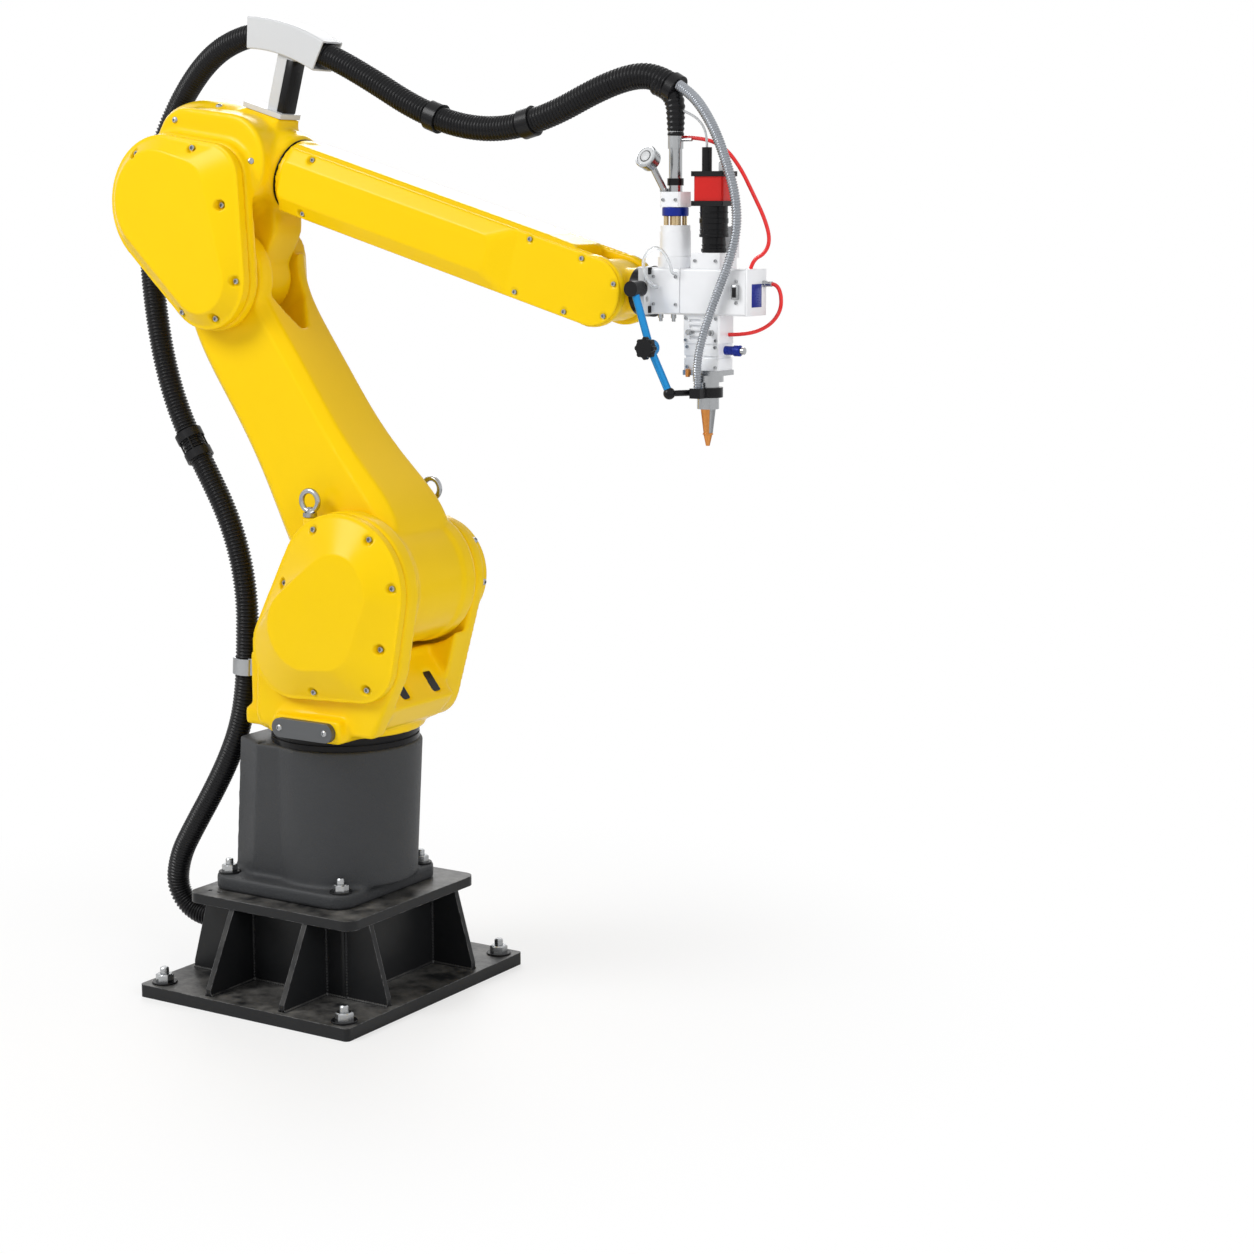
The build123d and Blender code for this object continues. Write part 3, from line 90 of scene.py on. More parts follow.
# Places taken from the frame
JOINTS = {joint["name"]: joint for joint in frame["joints"]}
SLOT_OF = {part["node"]: part["material_slot"] for part in frame["record"]["subparts"]}
SHOULDER = Vector(JOINTS["shoulder_tilt"]["pos_m"])
ELBOW = Vector(JOINTS["elbow_tilt"]["pos_m"])
AXIS_FOOT = Vector(JOINTS["forearm_roll"]["pos_m"])
WRIST = Vector(JOINTS["wrist_bend"]["pos_m"])
FORWARD = Vector(JOINTS["forearm_roll"]["axis"]).normalized()
SIDE = Vector((0, 1, 0))
LIFT = FORWARD.cross(SIDE)
NEAR = -SIDE
UP = Vector((0, 0, 1))
TILTED_AXES = Matrix((FORWARD, SIDE, LIFT)).transposed().to_4x4()
ELBOW_FRAME = Matrix.Translation(ELBOW) @ TILTED_AXES
FOREARM_FRAME = Matrix.Translation(AXIS_FOOT) @ TILTED_AXES

# Marks the scene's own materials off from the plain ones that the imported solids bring
FINISH_MARK = "_finish"
# Edges sharper than this stay sharp in the shading
SHARP_ANGLE = radians(32)
# Corners of a solid's loose triangles nearer than this are one
MERGE_DISTANCE = 0.00002

# Screws on the two round covers, as (forward, up) from the joint that each cover hides
SHOULDER_COVER_SCREWS = (
    (-0.058, 0.115), (0.078, 0.105), (-0.131, 0.005), (0.131, 0.015), (0.101, -0.105), (0.066, -0.188),
    (-0.065, -0.206),
)
ELBOW_COVER_SCREWS = (
    (-0.225, 0.188), (-0.088, 0.238), (0.012, 0.152), (0.082, 0.020), (0.050, -0.066), (-0.036, -0.080),
)
# Screws on the forearm's side covers, as (along the forearm, up)
FOREARM_COVER_SCREWS = (
    (0.146, 0.053), (0.672, 0.053), (0.790, 0.052), (0.868, 0.028),
    (0.148, -0.053), (0.665, -0.050), (0.779, -0.052), (0.863, -0.034),
)
# From the inner face of a near cover out to the seats of its screws
COVER_SEATS = {"shoulder_cover": 0.019, "elbow_side_cover": 0.021, "forearm_cover_near": 0.0035}
# Size of the forearm's screws and pockets, as a share of the round covers'
FOREARM_SCREW_SHARE = 0.8
# How far the shape that cuts a screw pocket reaches to either side of its middle
POCKET_REACH = 0.05
# Screws on the elbow's round housing and on the rim of the far shoulder cap, as (place, direction)
HOUSING_SCREWS = (
    ((-0.2167, -0.0403, 1.7770), (0.16, -0.42, 0.89)), ((-0.2815, -0.0980, 1.7493), (0.0, -1.0, 0.0)),
    ((-0.0865, -0.1003, 1.6680), (0.47, -0.87, 0.16)),
)
CAP_SCREWS = (
    ((0.2757, 0.1573, 0.8356), (0.99, 0.0, -0.13)), ((0.2544, 0.1573, 0.9194), (0.80, 0.0, 0.60)),
)
STOP_SCREW_INSET = 0.019

# Rounds of smoothing of the castings and covers
LARGE_CASTINGS = {"turret_casting": 10, "lower_arm_casting": 8, "elbow_casting": 22, "base_casting": 5}
MIDDLE_CASTINGS = {"forearm_body": 4, "far_shoulder_cap": 4, "wrist_housing": 4}
COVER_ROUNDS = 3
# Thickness of the flange of the base's foot, on which the foot bolts sit
FOOT_FLANGE = 0.031

# Conduit route by the bodies that carry it, held at the middle of the run between two stretches
CONDUIT_STRETCHES = {
    ("base", "turret"): [
        (-0.150, -0.040, 0.104), (-0.244, -0.040, 0.104), (-0.334, -0.044, 0.100), (-0.384, -0.050, 0.150),
        (-0.368, -0.055, 0.226), (-0.318, -0.060, 0.300), (-0.266, -0.063, 0.374), (-0.214, -0.066, 0.456),
        (-0.176, -0.069, 0.536), (-0.158, -0.071, 0.618),
    ],
    ("turret", "lower_arm"): [
        (-0.152, -0.072, 0.702), (-0.150, -0.071, 0.790), (-0.166, -0.069, 0.880), (-0.200, -0.067, 0.966),
        (-0.254, -0.065, 1.052),
    ],
    ("lower_arm", "elbow"): [
        (-0.319, -0.062, 1.148), (-0.361, -0.060, 1.254), (-0.393, -0.050, 1.376), (-0.422, -0.028, 1.492),
        (-0.446, 0.004, 1.600), (-0.440, 0.034, 1.702), (-0.392, 0.042, 1.790), (-0.312, 0.024, 1.860),
        (-0.228, 0.004, 1.900), (-0.140, 0.0, 1.919),
    ],
    ("elbow", "forearm"): [
        (-0.040, 0.0, 1.896), (0.050, 0.0, 1.862), (0.140, 0.0, 1.818), (0.234, 0.0, 1.767),
        (0.338, 0.0, 1.730), (0.446, 0.0, 1.722),
    ],
    ("forearm", "wrist"): [
        (0.552, 0.0, 1.748), (0.650, 0.0, 1.792),
    ],
    ("wrist", "tool"): [
        (0.724, 0.0, 1.814), (0.776, 0.0, 1.812), (0.806, 0.0, 1.795),
    ],
}
FEED_HOSE_ROUTE = [
    (0.8255, -0.008, 1.796), (0.852, -0.010, 1.781), (0.884, -0.018, 1.752), (0.918, -0.028, 1.706),
    (0.944, -0.036, 1.652), (0.964, -0.042, 1.600), (0.970, -0.046, 1.545), (0.956, -0.048, 1.488),
    (0.934, -0.050, 1.436), (0.914, -0.052, 1.384), (0.898, -0.052, 1.334), (0.889, -0.046, 1.298),
    (0.886, -0.038, 1.280), (0.886, -0.038, 1.2616),
]
CONDUIT_WRAP_ROUTE = [
    (0.776, 0.0, 1.800), (0.800, 0.0, 1.790), (0.815, 0.0, 1.768), (0.8163, 0.0, 1.738), (0.8163, 0.0, 1.706),
]
RED_HOSE_ROUTES = [
    [(0.827, 0.009, 1.704), (0.868, 0.014, 1.703), (0.908, 0.018, 1.686), (0.938, 0.021, 1.650),
     (0.962, 0.023, 1.606), (0.986, 0.024, 1.562), (0.999, 0.022, 1.524), (0.990, 0.018, 1.500),
     (0.970, 0.013, 1.490), (0.965, 0.012, 1.4734)],
    [(1.0000, 0.0235, 1.447), (1.011, 0.0235, 1.447), (1.020, 0.0255, 1.430), (1.020, 0.0255, 1.402),
     (1.003, 0.0245, 1.378), (0.978, 0.018, 1.363), (0.950, 0.010, 1.357), (0.9237, 0.008, 1.356)],
]
CAMERA_LEAD_ROUTE = [
    (0.8811, 0.0, 1.680), (0.8811, 0.0, 1.702), (0.874, 0.0, 1.724), (0.852, 0.0, 1.744), (0.824, 0.0, 1.753),
]
CLEAR_TUBE_ROUTE = [
    (0.800, -0.0351, 1.440), (0.800, -0.050, 1.442), (0.790, -0.060, 1.456), (0.786, -0.064, 1.484),
    (0.796, -0.062, 1.506), (0.814, -0.058, 1.512), (0.830, -0.056, 1.498), (0.838, -0.052, 1.478),
    (0.838, -0.048, 1.464), (0.838, -0.0351, 1.464),
]
# Wrap where the conduit bends down to the head
CONDUIT_WRAP = dict(radius=0.0215, pitch=0.0095, depth=0.0016, taper=-0.0065)
# The feed hose is wider by this much where it starts and narrower by as much where it ends
FEED_HOSE_SWELL = 0.0013
HOSE_SIDES = 14
# Distance between the rings of a hose that has no ribs
PLAIN_PITCH = 0.006

# What follows on the welding head is measured from the wrist's axis
# Screws by their level of Y, as (forward, up)
HEAD_SCREWS = {
    -0.0352: ((0.116, 0.028), (0.162, 0.028), (0.116, -0.021), (0.162, -0.021), (0.2865, 0.022),
              (0.2865, -0.016)),
    -0.0272: ((0.179, -0.045), (0.241, -0.045), (0.179, -0.084), (0.241, -0.084)),
    -0.0252: ((0.181, -0.096), (0.239, -0.096), (0.181, -0.132), (0.239, -0.132)),
    -0.0217: ((0.127, 0.164), (0.153, 0.164)),
    -0.0302: ((0.199, 0.057), (0.241, 0.057)),
}
# Boxes, as (low corner, high corner, edge): the latch, its dark slot and the bracket's two clamp ears
LATCH_BOXES = [((0.2795, -0.0430, -0.010), (0.2935, -0.0349, 0.016), 0.0022)]
DARK_BOXES = [
    ((0.2825, -0.0440, -0.006), (0.2905, -0.0425, 0.012), 0.0005),
    *[((0.0975, -0.0425, z - 0.0065), (0.1110, -0.0300, z + 0.0065), 0.0018) for z in (-0.031, 0.038)],
]
# Round bars, as (radius, start, end, edge, sides)
STEEL_BARS = [
    *[(0.0050, (x, -0.020, -0.039), (x, -0.020, -0.0465), 0.0004, 24) for x in (0.122, 0.149)],
    *[(0.0034, (x, -0.020, -0.046), (x, -0.020, -0.0525), 0.0004, 24) for x in (0.122, 0.149)],
    *[(0.0052, (x, -0.0269, -0.070), (x, -0.0350, -0.070), 0.0012, 24) for x in (0.187, 0.233)],
    (0.0065, (0.2774, 0, -0.102), (0.2855, 0, -0.102), 0.0010, 24),
]
BRASS_BARS = [(0.0042, (0.184, -0.0285, -0.136), (0.184, -0.0285, -0.150), 0.0006, 24)]
CAMERA_STUB = [(0.0052, (0.235, 0, 0.2141), (0.235, 0, 0.2290), 0.0008, 24)]
CAMERA_PINS = [
    (0.0022, (x, -0.0248, z), (x, -0.0262, z), 0.0003, 12) for x in (0.190, 0.250) for z in (0.1575, 0.2095)
]
# Star knob of the support arm: middle of its two ends, radius of its ring of lobes, their number and radius
KNOB_START = (0.136, -0.1012, -0.097)
KNOB_END = (0.136, -0.0890, -0.097)
KNOB_RING = 0.0160
KNOB_LOBES = 8
KNOB_LOBE_RADIUS = 0.0046
# Turned shapes, as (radius, height)
ENTRY_BAND = [(0.0124, 0.0), (0.0149, 0.0), (0.0149, 0.0124), (0.0124, 0.0124)]
ENTRY_BAND_PLACE = (0.140, 0, 0.1893)
DIAL_BODY = [(0.0180, -0.011), (0.0200, -0.009), (0.0200, 0.004), (0.0213, 0.0052), (0.0213, 0.0105),
             (0.0200, 0.0122), (0.0172, 0.0118), (0.0168, 0.0104)]
DIAL_DISC = [(0.0168, 0.0), (0.0166, 0.0009), (0.0112, 0.0009), (0.0108, 0.0003)]
DIAL_BOSS = [(0.0092, 0.0), (0.0092, 0.0016), (0.0080, 0.0022)]
DIAL_GROOVE = [(0.0113, -0.001), (0.0113, 0.0006), (0.0090, 0.0006)]
DIAL_HUB = (0.112, -0.047, 0.236)
DIAL_FOOT = (0.1257, -0.0155, 0.1781)
DIAL_WAY = Vector((-0.06, -0.90, 0.43)).normalized()
DIAL_FACE_RISE = 0.010
# Radius of the dial's stalk, and half the width of its foot
DIAL_STALK = 0.006
# Grip rings of the camera's lens, as (radius, height, thirds of the lens below the ring, rise above these)
LENS_RINGS = (
    (0.0228, 0.007, 0, 0.001), (0.0222, 0.003, 0, 0.012), (0.0262, 0.006, 1, 0.0), (0.0259, 0.003, 1, 0.011),
    (0.0262, 0.010, 1, 0.024), (0.0259, 0.003, 1, 0.042),
)
# Inset and height of the bevel of a ring
LENS_RING_EDGE = (0.001, 0.0008)
# Thickness of the plate that shows in place of the end cap, and the blank plate on it, as (side, up)
END_PLATE = 0.0045
BLANK_PLATE = ((-0.0190, -0.024), (0.0165, 0.017))
# Bright metal shell on the lit side of the copper nozzle, a painted highlight
HIGHLIGHT_SHELL_TOP = (0.210, 0, -0.208)
HIGHLIGHT_SHELL_RADII = (0.0135, 0.0084)
HIGHLIGHT_SHELL_TALL = 0.0435
HIGHLIGHT_SHELL_THICK = 0.0006
HIGHLIGHT_SHELL_MIDDLE = radians(38)
HIGHLIGHT_SHELL_HALF = radians(84)
HIGHLIGHT_SHELL_STEPS = 20

# Dark faces of the guide's post along the elbow's tilted axes, seam ring of the neck and collar of the wrist
GUIDE_FACES = (
    ((0.0128, -0.0190, 0.3370), (0.0146, 0.0172, 0.4400)),
    ((-0.0020, -0.0206, 0.3370), (0.0146, -0.0186, 0.4400)),
)
NECK_SEAM = [(0.0700, -0.0020), (0.0726, -0.0014), (0.0726, 0.0004), (0.0700, 0.0006)]
NECK_SEAM_PLACE = (0.066, 0, 0)
WRIST_COLLAR = [(0.0415, 0.0), (0.0443, 0.0012), (0.0443, 0.0170), (0.0415, 0.0178)]
WRIST_COLLAR_PLACE = (0.0655, 0, 0)

# Finish of each slot, as its colour among the paints and what sets it apart from the plain finish
FINISHES = {
    "yellow_paint": ("yellow", dict(
        spread=0.03, roughness=0.25, roughness_spread=0.05, ior=1.24, broad=3.0, fine=420.0, rough_share=0.25,
        bump=0.10, bump_depth=0.0004)),
    # The pedestal's dust is strong enough to be also a painted highlight on its upward faces
    "dark_paint": ("pedestal", dict(
        spread=0.30, roughness=0.37, roughness_spread=0.12, broad=9.0, fine=220.0, bump=0.25,
        bump_depth=0.0006, dust=0.55, round_edge=0.0025, specular=0.25, wear=0.8)),
    "cast_grey": ("casting", dict(
        spread=0.22, roughness=0.52, broad=14.0, fine=420.0, rough_share=0.7, bump=0.8, bump_depth=0.0014,
        dust=0.05, specular=0.35)),
    "black_metal": ("black", dict(spread=0.20, roughness=0.24, round_edge=0.0008, specular=0.16)),
    "black_plastic": ("black", dict(
        spread=0.25, roughness=0.27, roughness_spread=0.06, fine=380.0, bump=0.15, dust=0.02, specular=0.20)),
    "zinc_steel": ("steel", dict(
        spread=0.10, roughness=0.24, roughness_spread=0.10, metallic=1.0, broad=30.0, fine=900.0)),
    "grey_plate": ("plate", dict(
        spread=0.10, roughness=0.38, metallic=0.7, stretch=(4, 60, 60), round_edge=0.0015)),
    "white_paint": ("white", dict(spread=0.03, roughness=0.38, round_edge=0.0015, specular=0.3)),
    "head_aluminium": ("aluminium", dict(
        roughness=0.34, metallic=0.15, broad=20.0, fine=800.0, bump=0.06, round_edge=0.0014, specular=0.4)),
    "brass": ("copper", dict(
        spread=0.14, roughness=0.24, roughness_spread=0.10, metallic=1.0, broad=40.0, round_edge=0.0005)),
    "pale_brass": ("pale_brass", dict(spread=0.14, roughness=0.26, metallic=1.0, broad=40.0)),
    "blue_anodised": ("blue", dict(
        spread=0.12, roughness=0.28, metallic=0.25, round_edge=0.0008, specular=0.3)),
    "sky_anodised": ("sky", dict(spread=0.12, roughness=0.24, metallic=0.55, round_edge=0.0008)),
    "red_anodised": ("red", dict(spread=0.10, roughness=0.34, metallic=0.1, round_edge=0.0010, specular=0.3)),
    "grey_hose": ("hose", dict(spread=0.16, roughness=0.28, metallic=0.8, broad=60.0)),
    "red_hose": ("red_hose", dict(spread=0.12, roughness=0.26, coat=0.3)),
    "clear_tube": ("clear", dict(roughness=0.12, roughness_spread=0.03, clear=0.6, ior=1.4)),
}
# Pale tint of the dust on upward faces, which on the pedestal's tops also paints in the highlight
DUST_AND_SHEEN_TINT = (0.32, 0.31, 0.29)
BARE_TINT = (0.36, 0.36, 0.37)
COAT_ROUGHNESS = 0.10
BEVEL_SAMPLES = 4

# Soft lamps, as (name, place, size, power, seen in reflections)
LAMPS = (
    ("key", (-1.8, -3.4, 4.2), 2.2, 150, True),
    ("fill", (4.2, -1.6, 2.6), 3.0, 85, False),
    ("rim", (-2.4, 3.2, 3.4), 2.6, 80, True),
)
LAMP_TARGET = Vector((0.3, 0, 1.0))
# Strength of the white surroundings for all but what is seen directly, in reflections or through clear parts
SOFT_LIGHT = 0.30
# Least share of plain white in the floor as the camera sees it
FLOOR_WHITE = 0.62


def colour(name, description, value):
    return FloatVectorProperty(name=name, description=description, subtype="COLOR", size=3, min=0, max=1,
                               default=value)


def length(name, description, value):
    return FloatProperty(name=name, description=description, subtype="DISTANCE", unit="LENGTH", default=value)


class RobotPaints(bpy.types.PropertyGroup):
    """Colours of the paints, metals and plastics."""
    yellow: colour("Yellow enamel", "Gloss paint of the arm's castings and covers", (0.95, 0.625, 0.003))
    pedestal: colour("Pedestal paint", "Dark satin paint of the plates and ribs", (0.011, 0.0115, 0.0125))
    casting: colour("Base casting", "Dark grainy paint of the round base", (0.036, 0.038, 0.041))
    black: colour("Black plastic", "Conduit, glands, bands and plugs", (0.008, 0.008, 0.009))
    steel: colour("Bright steel", "Screws, eyes and nuts", (0.42, 0.43, 0.44))
    aluminium: colour("Head metal", "Satin metal of the welding head", (0.88, 0.89, 0.91))
    white: colour("White paint", "Conduit guide and bracket", (0.62, 0.63, 0.64))
    plate: colour("Stop plate", "Grey plate on the turret's foot", (0.12, 0.125, 0.13))
    copper: colour("Copper alloy", "Nozzle tip", (0.66, 0.27, 0.075))
    pale_brass: colour("Pale brass", "Posts of the beam entry", (0.58, 0.45, 0.26))
    blue: colour("Blue anodised", "Ring and lock of the head and its blank plate", (0.006, 0.022, 0.26))
    sky: colour("Sky blue anodised", "Rods of the support arm", (0.012, 0.26, 0.62))
    red: colour("Red anodised", "Camera body", (0.62, 0.012, 0.009))
    hose: colour("Grey hose", "Spiral hose beside the head", (0.36, 0.38, 0.41))
    red_hose: colour("Red hose", "Thin air hoses", (0.80, 0.010, 0.010))
    clear: colour("Clear tube", "Thin clear tube on the head", (0.86, 0.88, 0.90))


class RobotSizes(bpy.types.PropertyGroup):
    """Sizes of what is added to the solids."""
    conduit_radius: length("Conduit radius", "Crest of the conduit's ribs", 0.0235)
    rib_pitch: length("Rib pitch", "Distance from rib to rib", 0.0072)
    rib_depth: length("Rib depth", "Depth of the grooves between ribs", 0.0034)
    feed_hose_radius: length("Feed hose radius", "Outside of the spiral hose", 0.009)
    feed_hose_pitch: length("Feed hose pitch", "Distance from wind to wind", 0.0048)
    feed_hose_depth: length("Feed hose depth", "Depth between winds", 0.0021)
    red_hose_radius: length("Red hose radius", "Outside of the thin red hoses", 0.0036)
    camera_lead_radius: length("Camera lead radius", "Outside of the camera's white lead", 0.0022)
    clear_tube_radius: length("Clear tube radius", "Outside of the clear tube", 0.003)
    large_grain: length("Large casting grain", "Mesh size of the largest castings", 0.0042)
    small_grain: length("Cover grain", "Mesh size of the covers", 0.0023)
    middle_grain: length("Forearm grain", "Mesh size of the forearm and the wrist", 0.0034)
    cover_screw: length("Cover screw radius", "Head of the covers' socket screws", 0.0058)
    head_screw: length("Head screw radius", "Socket screws of the welding head", 0.0030)
    screw_pocket: length("Screw pocket radius", "Counterbore round a cover screw", 0.0105)
    anchor_inset: length("Anchor inset", "From the floor plate's edges to the anchors", 0.036)
    anchor_nut: length("Anchor nut radius", "Nut of a floor anchor, over its flats", 0.016)
    foot_bolt_pitch: length("Foot bolt pitch", "Distance between the base's bolts, lengthwise", 0.288)
    foot_bolt_cross: length("Foot bolt cross pitch", "Distance between the base's bolts, crosswise", 0.266)
    foot_shift: length("Foot shift", "How far the base's foot stands back from the middle", -0.018)
    foot_bolt: length("Foot bolt radius", "Nut of a foot bolt, over its flats", 0.014)
    weld_radius: length("Weld radius", "Half width of a weld bead", 0.0042)
    rib_thick: length("Rib thickness", "Thickness of the pedestal's ribs", 0.012)
    rib_pitch_ends: length("Rib pitch at the ends", "Between the ribs of the front and rear wall", 0.286)
    rib_pitch_sides: length("Rib pitch at the sides", "Between the ribs of the side walls", 0.188)
    rib_foot_ends: length("Rib foot at the ends", "How far the front and rear ribs reach out", 0.100)
    rib_foot_sides: length("Rib foot at the sides", "How far the side ribs reach out", 0.134)


class StageSizes(bpy.types.PropertyGroup):
    """Floor, lamps and camera."""
    floor_colour: colour("Floor", "Pale floor", (0.93, 0.93, 0.93))
    floor_half: length("Floor half width", "Half the side of the floor", 9.0)
    fade_start: length("Fade start", "Where the floor begins to fade to white", 0.35)
    fade_end: length("Fade end", "Where the floor is white", 1.5)
    camera_place: FloatVectorProperty(name="Camera place", description="Where the camera stands",
                                      subtype="TRANSLATION", unit="LENGTH", size=3,
                                      default=(3.16405, -3.91718, 1.60047))
    camera_turn: FloatProperty(name="Camera turn", description="Angle round the robot", subtype="ANGLE",
                               default=radians(32.03))
    camera_height: FloatProperty(name="Camera height", description="Angle above the level", subtype="ANGLE",
                                 default=radians(9.75))
    camera_lens: FloatProperty(name="Lens", description="Focal length in millimetres", default=71.97)


# Small helpers for nodes and meshes

def set_inputs(node, **values):
    """Sets inputs of a node, a space in an input's name being written as a low line."""
    for name, value in values.items():
        node.inputs[name.replace("_", " ")].default_value = value
    return node


def add_node(tree, kind, **inputs):
    """New node with some of its inputs set."""
    return set_inputs(tree.nodes.new(kind), **inputs)


def wire(tree, *links):
    """Joins nodes, each link being a node, its output, the next node and that one's input."""
    for source, output, target, entry in links:
        tree.links.new(source.outputs[output], target.inputs[entry])


def math_node(tree, operation, first, second=None):
    """Output of a calculation with numbers or other outputs."""
    node = tree.nodes.new("ShaderNodeMath")
    node.operation = operation
    for place, value in enumerate((first, second)):
        if isinstance(value, (int, float)):
            node.inputs[place].default_value = value
        elif value is not None:
            tree.links.new(value, node.inputs[place])
    return node.outputs[0]


def new_object(name, data):
    """New object in the scene with a mesh, a curve, a lamp or a camera."""
    thing = bpy.data.objects.new(name, data)
    bpy.context.scene.collection.objects.link(thing)
    return thing


def settled(thing, name):
    """Plain mesh object of what an object's modifiers make, in place of that object."""
    bpy.context.view_layer.update()
    graph = bpy.context.evaluated_depsgraph_get()
    mesh = bpy.data.meshes.new_from_object(thing.evaluated_get(graph), depsgraph=graph)
    bpy.data.objects.remove(thing)
    return new_object(name, mesh)


def finish(slot):
    """Finish made for a slot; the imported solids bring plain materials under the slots' own names."""
    return bpy.data.materials[slot + FINISH_MARK]


def refinish(thing, slot):
    """Gives an object the finish of a slot and no other."""
    thing.data.materials.clear()
    thing.data.materials.append(finish(slot))


def painted(thing, slot):
    """Gives an object the finish of a slot."""
    refinish(thing, slot)
    return thing


def smooth_shaded(thing):
    """Shades an object's faces smooth."""
    for face in thing.data.polygons:
        face.use_smooth = True
    return thing


def facing(place, direction):
    """Matrix that puts a shape's origin at a place and its Z along a direction."""
    return Matrix.Translation(place) @ Vector(direction).to_track_quat("Z", "Y").to_matrix().to_4x4()


def lathe(rings, segments=24):
    """Closed mesh data of rings of radius and height about Z; a third value gives a ring flat sides."""
    shape = bmesh.new()
    rows = []
    for ring in rings:
        radius, height, sides = (*ring, 0)[:3]
        row = []
        for step in range(segments):
            angle = tau * step / segments
            reach = radius
            if sides:
                half = pi / sides
                reach = radius / cos((angle + half) % (2 * half) - half)
            row.append(shape.verts.new((reach * cos(angle), reach * sin(angle), height)))
        rows.append(row)
    for low, high in zip(rows, rows[1:]):
        for step in range(segments):
            after = (step + 1) % segments
            shape.faces.new((low[step], low[after], high[after], high[step]))
    shape.faces.new(list(reversed(rows[0])))
    shape.faces.new(rows[-1])
    return shape


def mesh_of(name, *shapes):
    """One mesh from several pieces of mesh data, which are freed."""
    mesh = bpy.data.meshes.new(name)
    whole = bmesh.new()
    for shape in shapes:
        part = bpy.data.meshes.new(name + "_part")
        shape.to_mesh(part)
        shape.free()
        whole.from_mesh(part)
        bpy.data.meshes.remove(part)
    bmesh.ops.recalc_face_normals(whole, faces=whole.faces)
    whole.to_mesh(mesh)
    whole.free()
    return mesh


def bar(radius, start, end, edge=0.0004, segments=24):
    """Round bar between two points, with a small bevel at each end."""
    start, end = Vector(start), Vector(end)
    long = (end - start).length
    rings = [(radius - edge, 0), (radius, edge), (radius, long - edge), (radius - edge, long)]
    return turned_at(rings, start, end - start, segments)


def brick(low, high, edge=0.001, frame_matrix=None):
    """Box between two corners with rounded edges."""
    low, high = Vector(low), Vector(high)
    shape = bmesh.new()
    bmesh.ops.create_cube(shape, size=1)
    bmesh.ops.scale(shape, vec=high - low, verts=shape.verts)
    bmesh.ops.translate(shape, vec=(low + high) / 2, verts=shape.verts)
    bmesh.ops.bevel(shape, geom=list(shape.edges), offset=edge, segments=2, profile=0.5, affect="EDGES")
    if frame_matrix is not None:
        bmesh.ops.transform(shape, matrix=frame_matrix, verts=shape.verts)
    return shape


def turned_at(rings, place, way, segments=32):
    """Turned shape set at a place with its axis along a direction."""
    shape = lathe(rings, segments)
    bmesh.ops.transform(shape, matrix=facing(place, way), verts=shape.verts)
    return shape


def dressed(name, slot, body, shapes):
    """One finished piece from pieces of mesh data, smooth but for its sharp edges."""
    thing = smooth_shaded(new_object(name, mesh_of(name, *shapes)))
    thing.data.set_sharp_from_angle(angle=SHARP_ANGLE)
    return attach(painted(thing, slot), body)


def on_head(x, y, z):
    """Place on the welding head, from the wrist's axis."""
    return WRIST + Vector((x, y, z))


# Shader groups and materials

def shader_group(name, numbers, outputs):
    """Empty shader group with number inputs, a vector input and number outputs, and its two end nodes."""
    tree = bpy.data.node_groups.new(name, "ShaderNodeTree")
    for label, value in numbers.items():
        tree.interface.new_socket(label, in_out="INPUT", socket_type="NodeSocketFloat").default_value = value
    tree.interface.new_socket("Vector", in_out="INPUT", socket_type="NodeSocketVector")
    for label in outputs:
        tree.interface.new_socket(label, in_out="OUTPUT", socket_type="NodeSocketFloat")
    return tree, tree.nodes.new("NodeGroupInput"), tree.nodes.new("NodeGroupOutput")


def grain_group():
    """Broad tone and fine height from noise, shared by every finish."""
    tree, given, made = shader_group("surface grain", {"Broad": 5.0, "Fine": 300.0, "Rough Share": 0.3},
                                     ("Tone", "Height"))
    broad = add_node(tree, "ShaderNodeTexNoise", Detail=4.0, Roughness=0.55)
    fine = add_node(tree, "ShaderNodeTexNoise", Detail=2.0, Roughness=0.5)
    mix = tree.nodes.new("ShaderNodeMix")
    wire(tree, (given, "Vector", broad, "Vector"), (given, "Vector", fine, "Vector"),
         (given, "Broad", broad, "Scale"), (given, "Fine", fine, "Scale"),
         (given, "Rough Share", mix, "Factor"), (broad, "Fac", mix, "A"), (fine, "Fac", mix, "B"),
         (mix, "Result", made, "Tone"), (fine, "Fac", made, "Height"))


def patchy_mask(tree, given, made, where, low, high, **noise):
    """Ends a mask group: where it applies, broken up by noise between two levels, times its amount."""
    spots = add_node(tree, "ShaderNodeTexNoise", **noise)
    patch = add_node(tree, "ShaderNodeMapRange", From_Min=low, From_Max=high)
    wire(tree, (given, "Vector", spots, "Vector"), (given, "Scale", spots, "Scale"),
         (spots, "Fac", patch, "Value"))
    broken = math_node(tree, "MULTIPLY", where.outputs["Result"], patch.outputs["Result"])
    tree.links.new(math_node(tree, "MULTIPLY", broken, given.outputs["Amount"]), made.inputs["Mask"])


def dust_and_sheen_group():
    """Mask of fine dust that gathers on what faces up; on the pedestal's tops it also stands in for a painted
    highlight.
    """
    tree, given, made = shader_group("settled dust", {"Amount": 0.2, "Scale": 20.0}, ("Mask",))
    surface = tree.nodes.new("ShaderNodeNewGeometry")
    split = tree.nodes.new("ShaderNodeSeparateXYZ")
    upper = add_node(tree, "ShaderNodeMapRange", From_Min=0.3, From_Max=1.0)
    wire(tree, (surface, "Normal", split, "Vector"), (split, "Z", upper, "Value"))
    patchy_mask(tree, given, made, upper, 0.35, 0.75, Detail=5.0, Roughness=0.65)


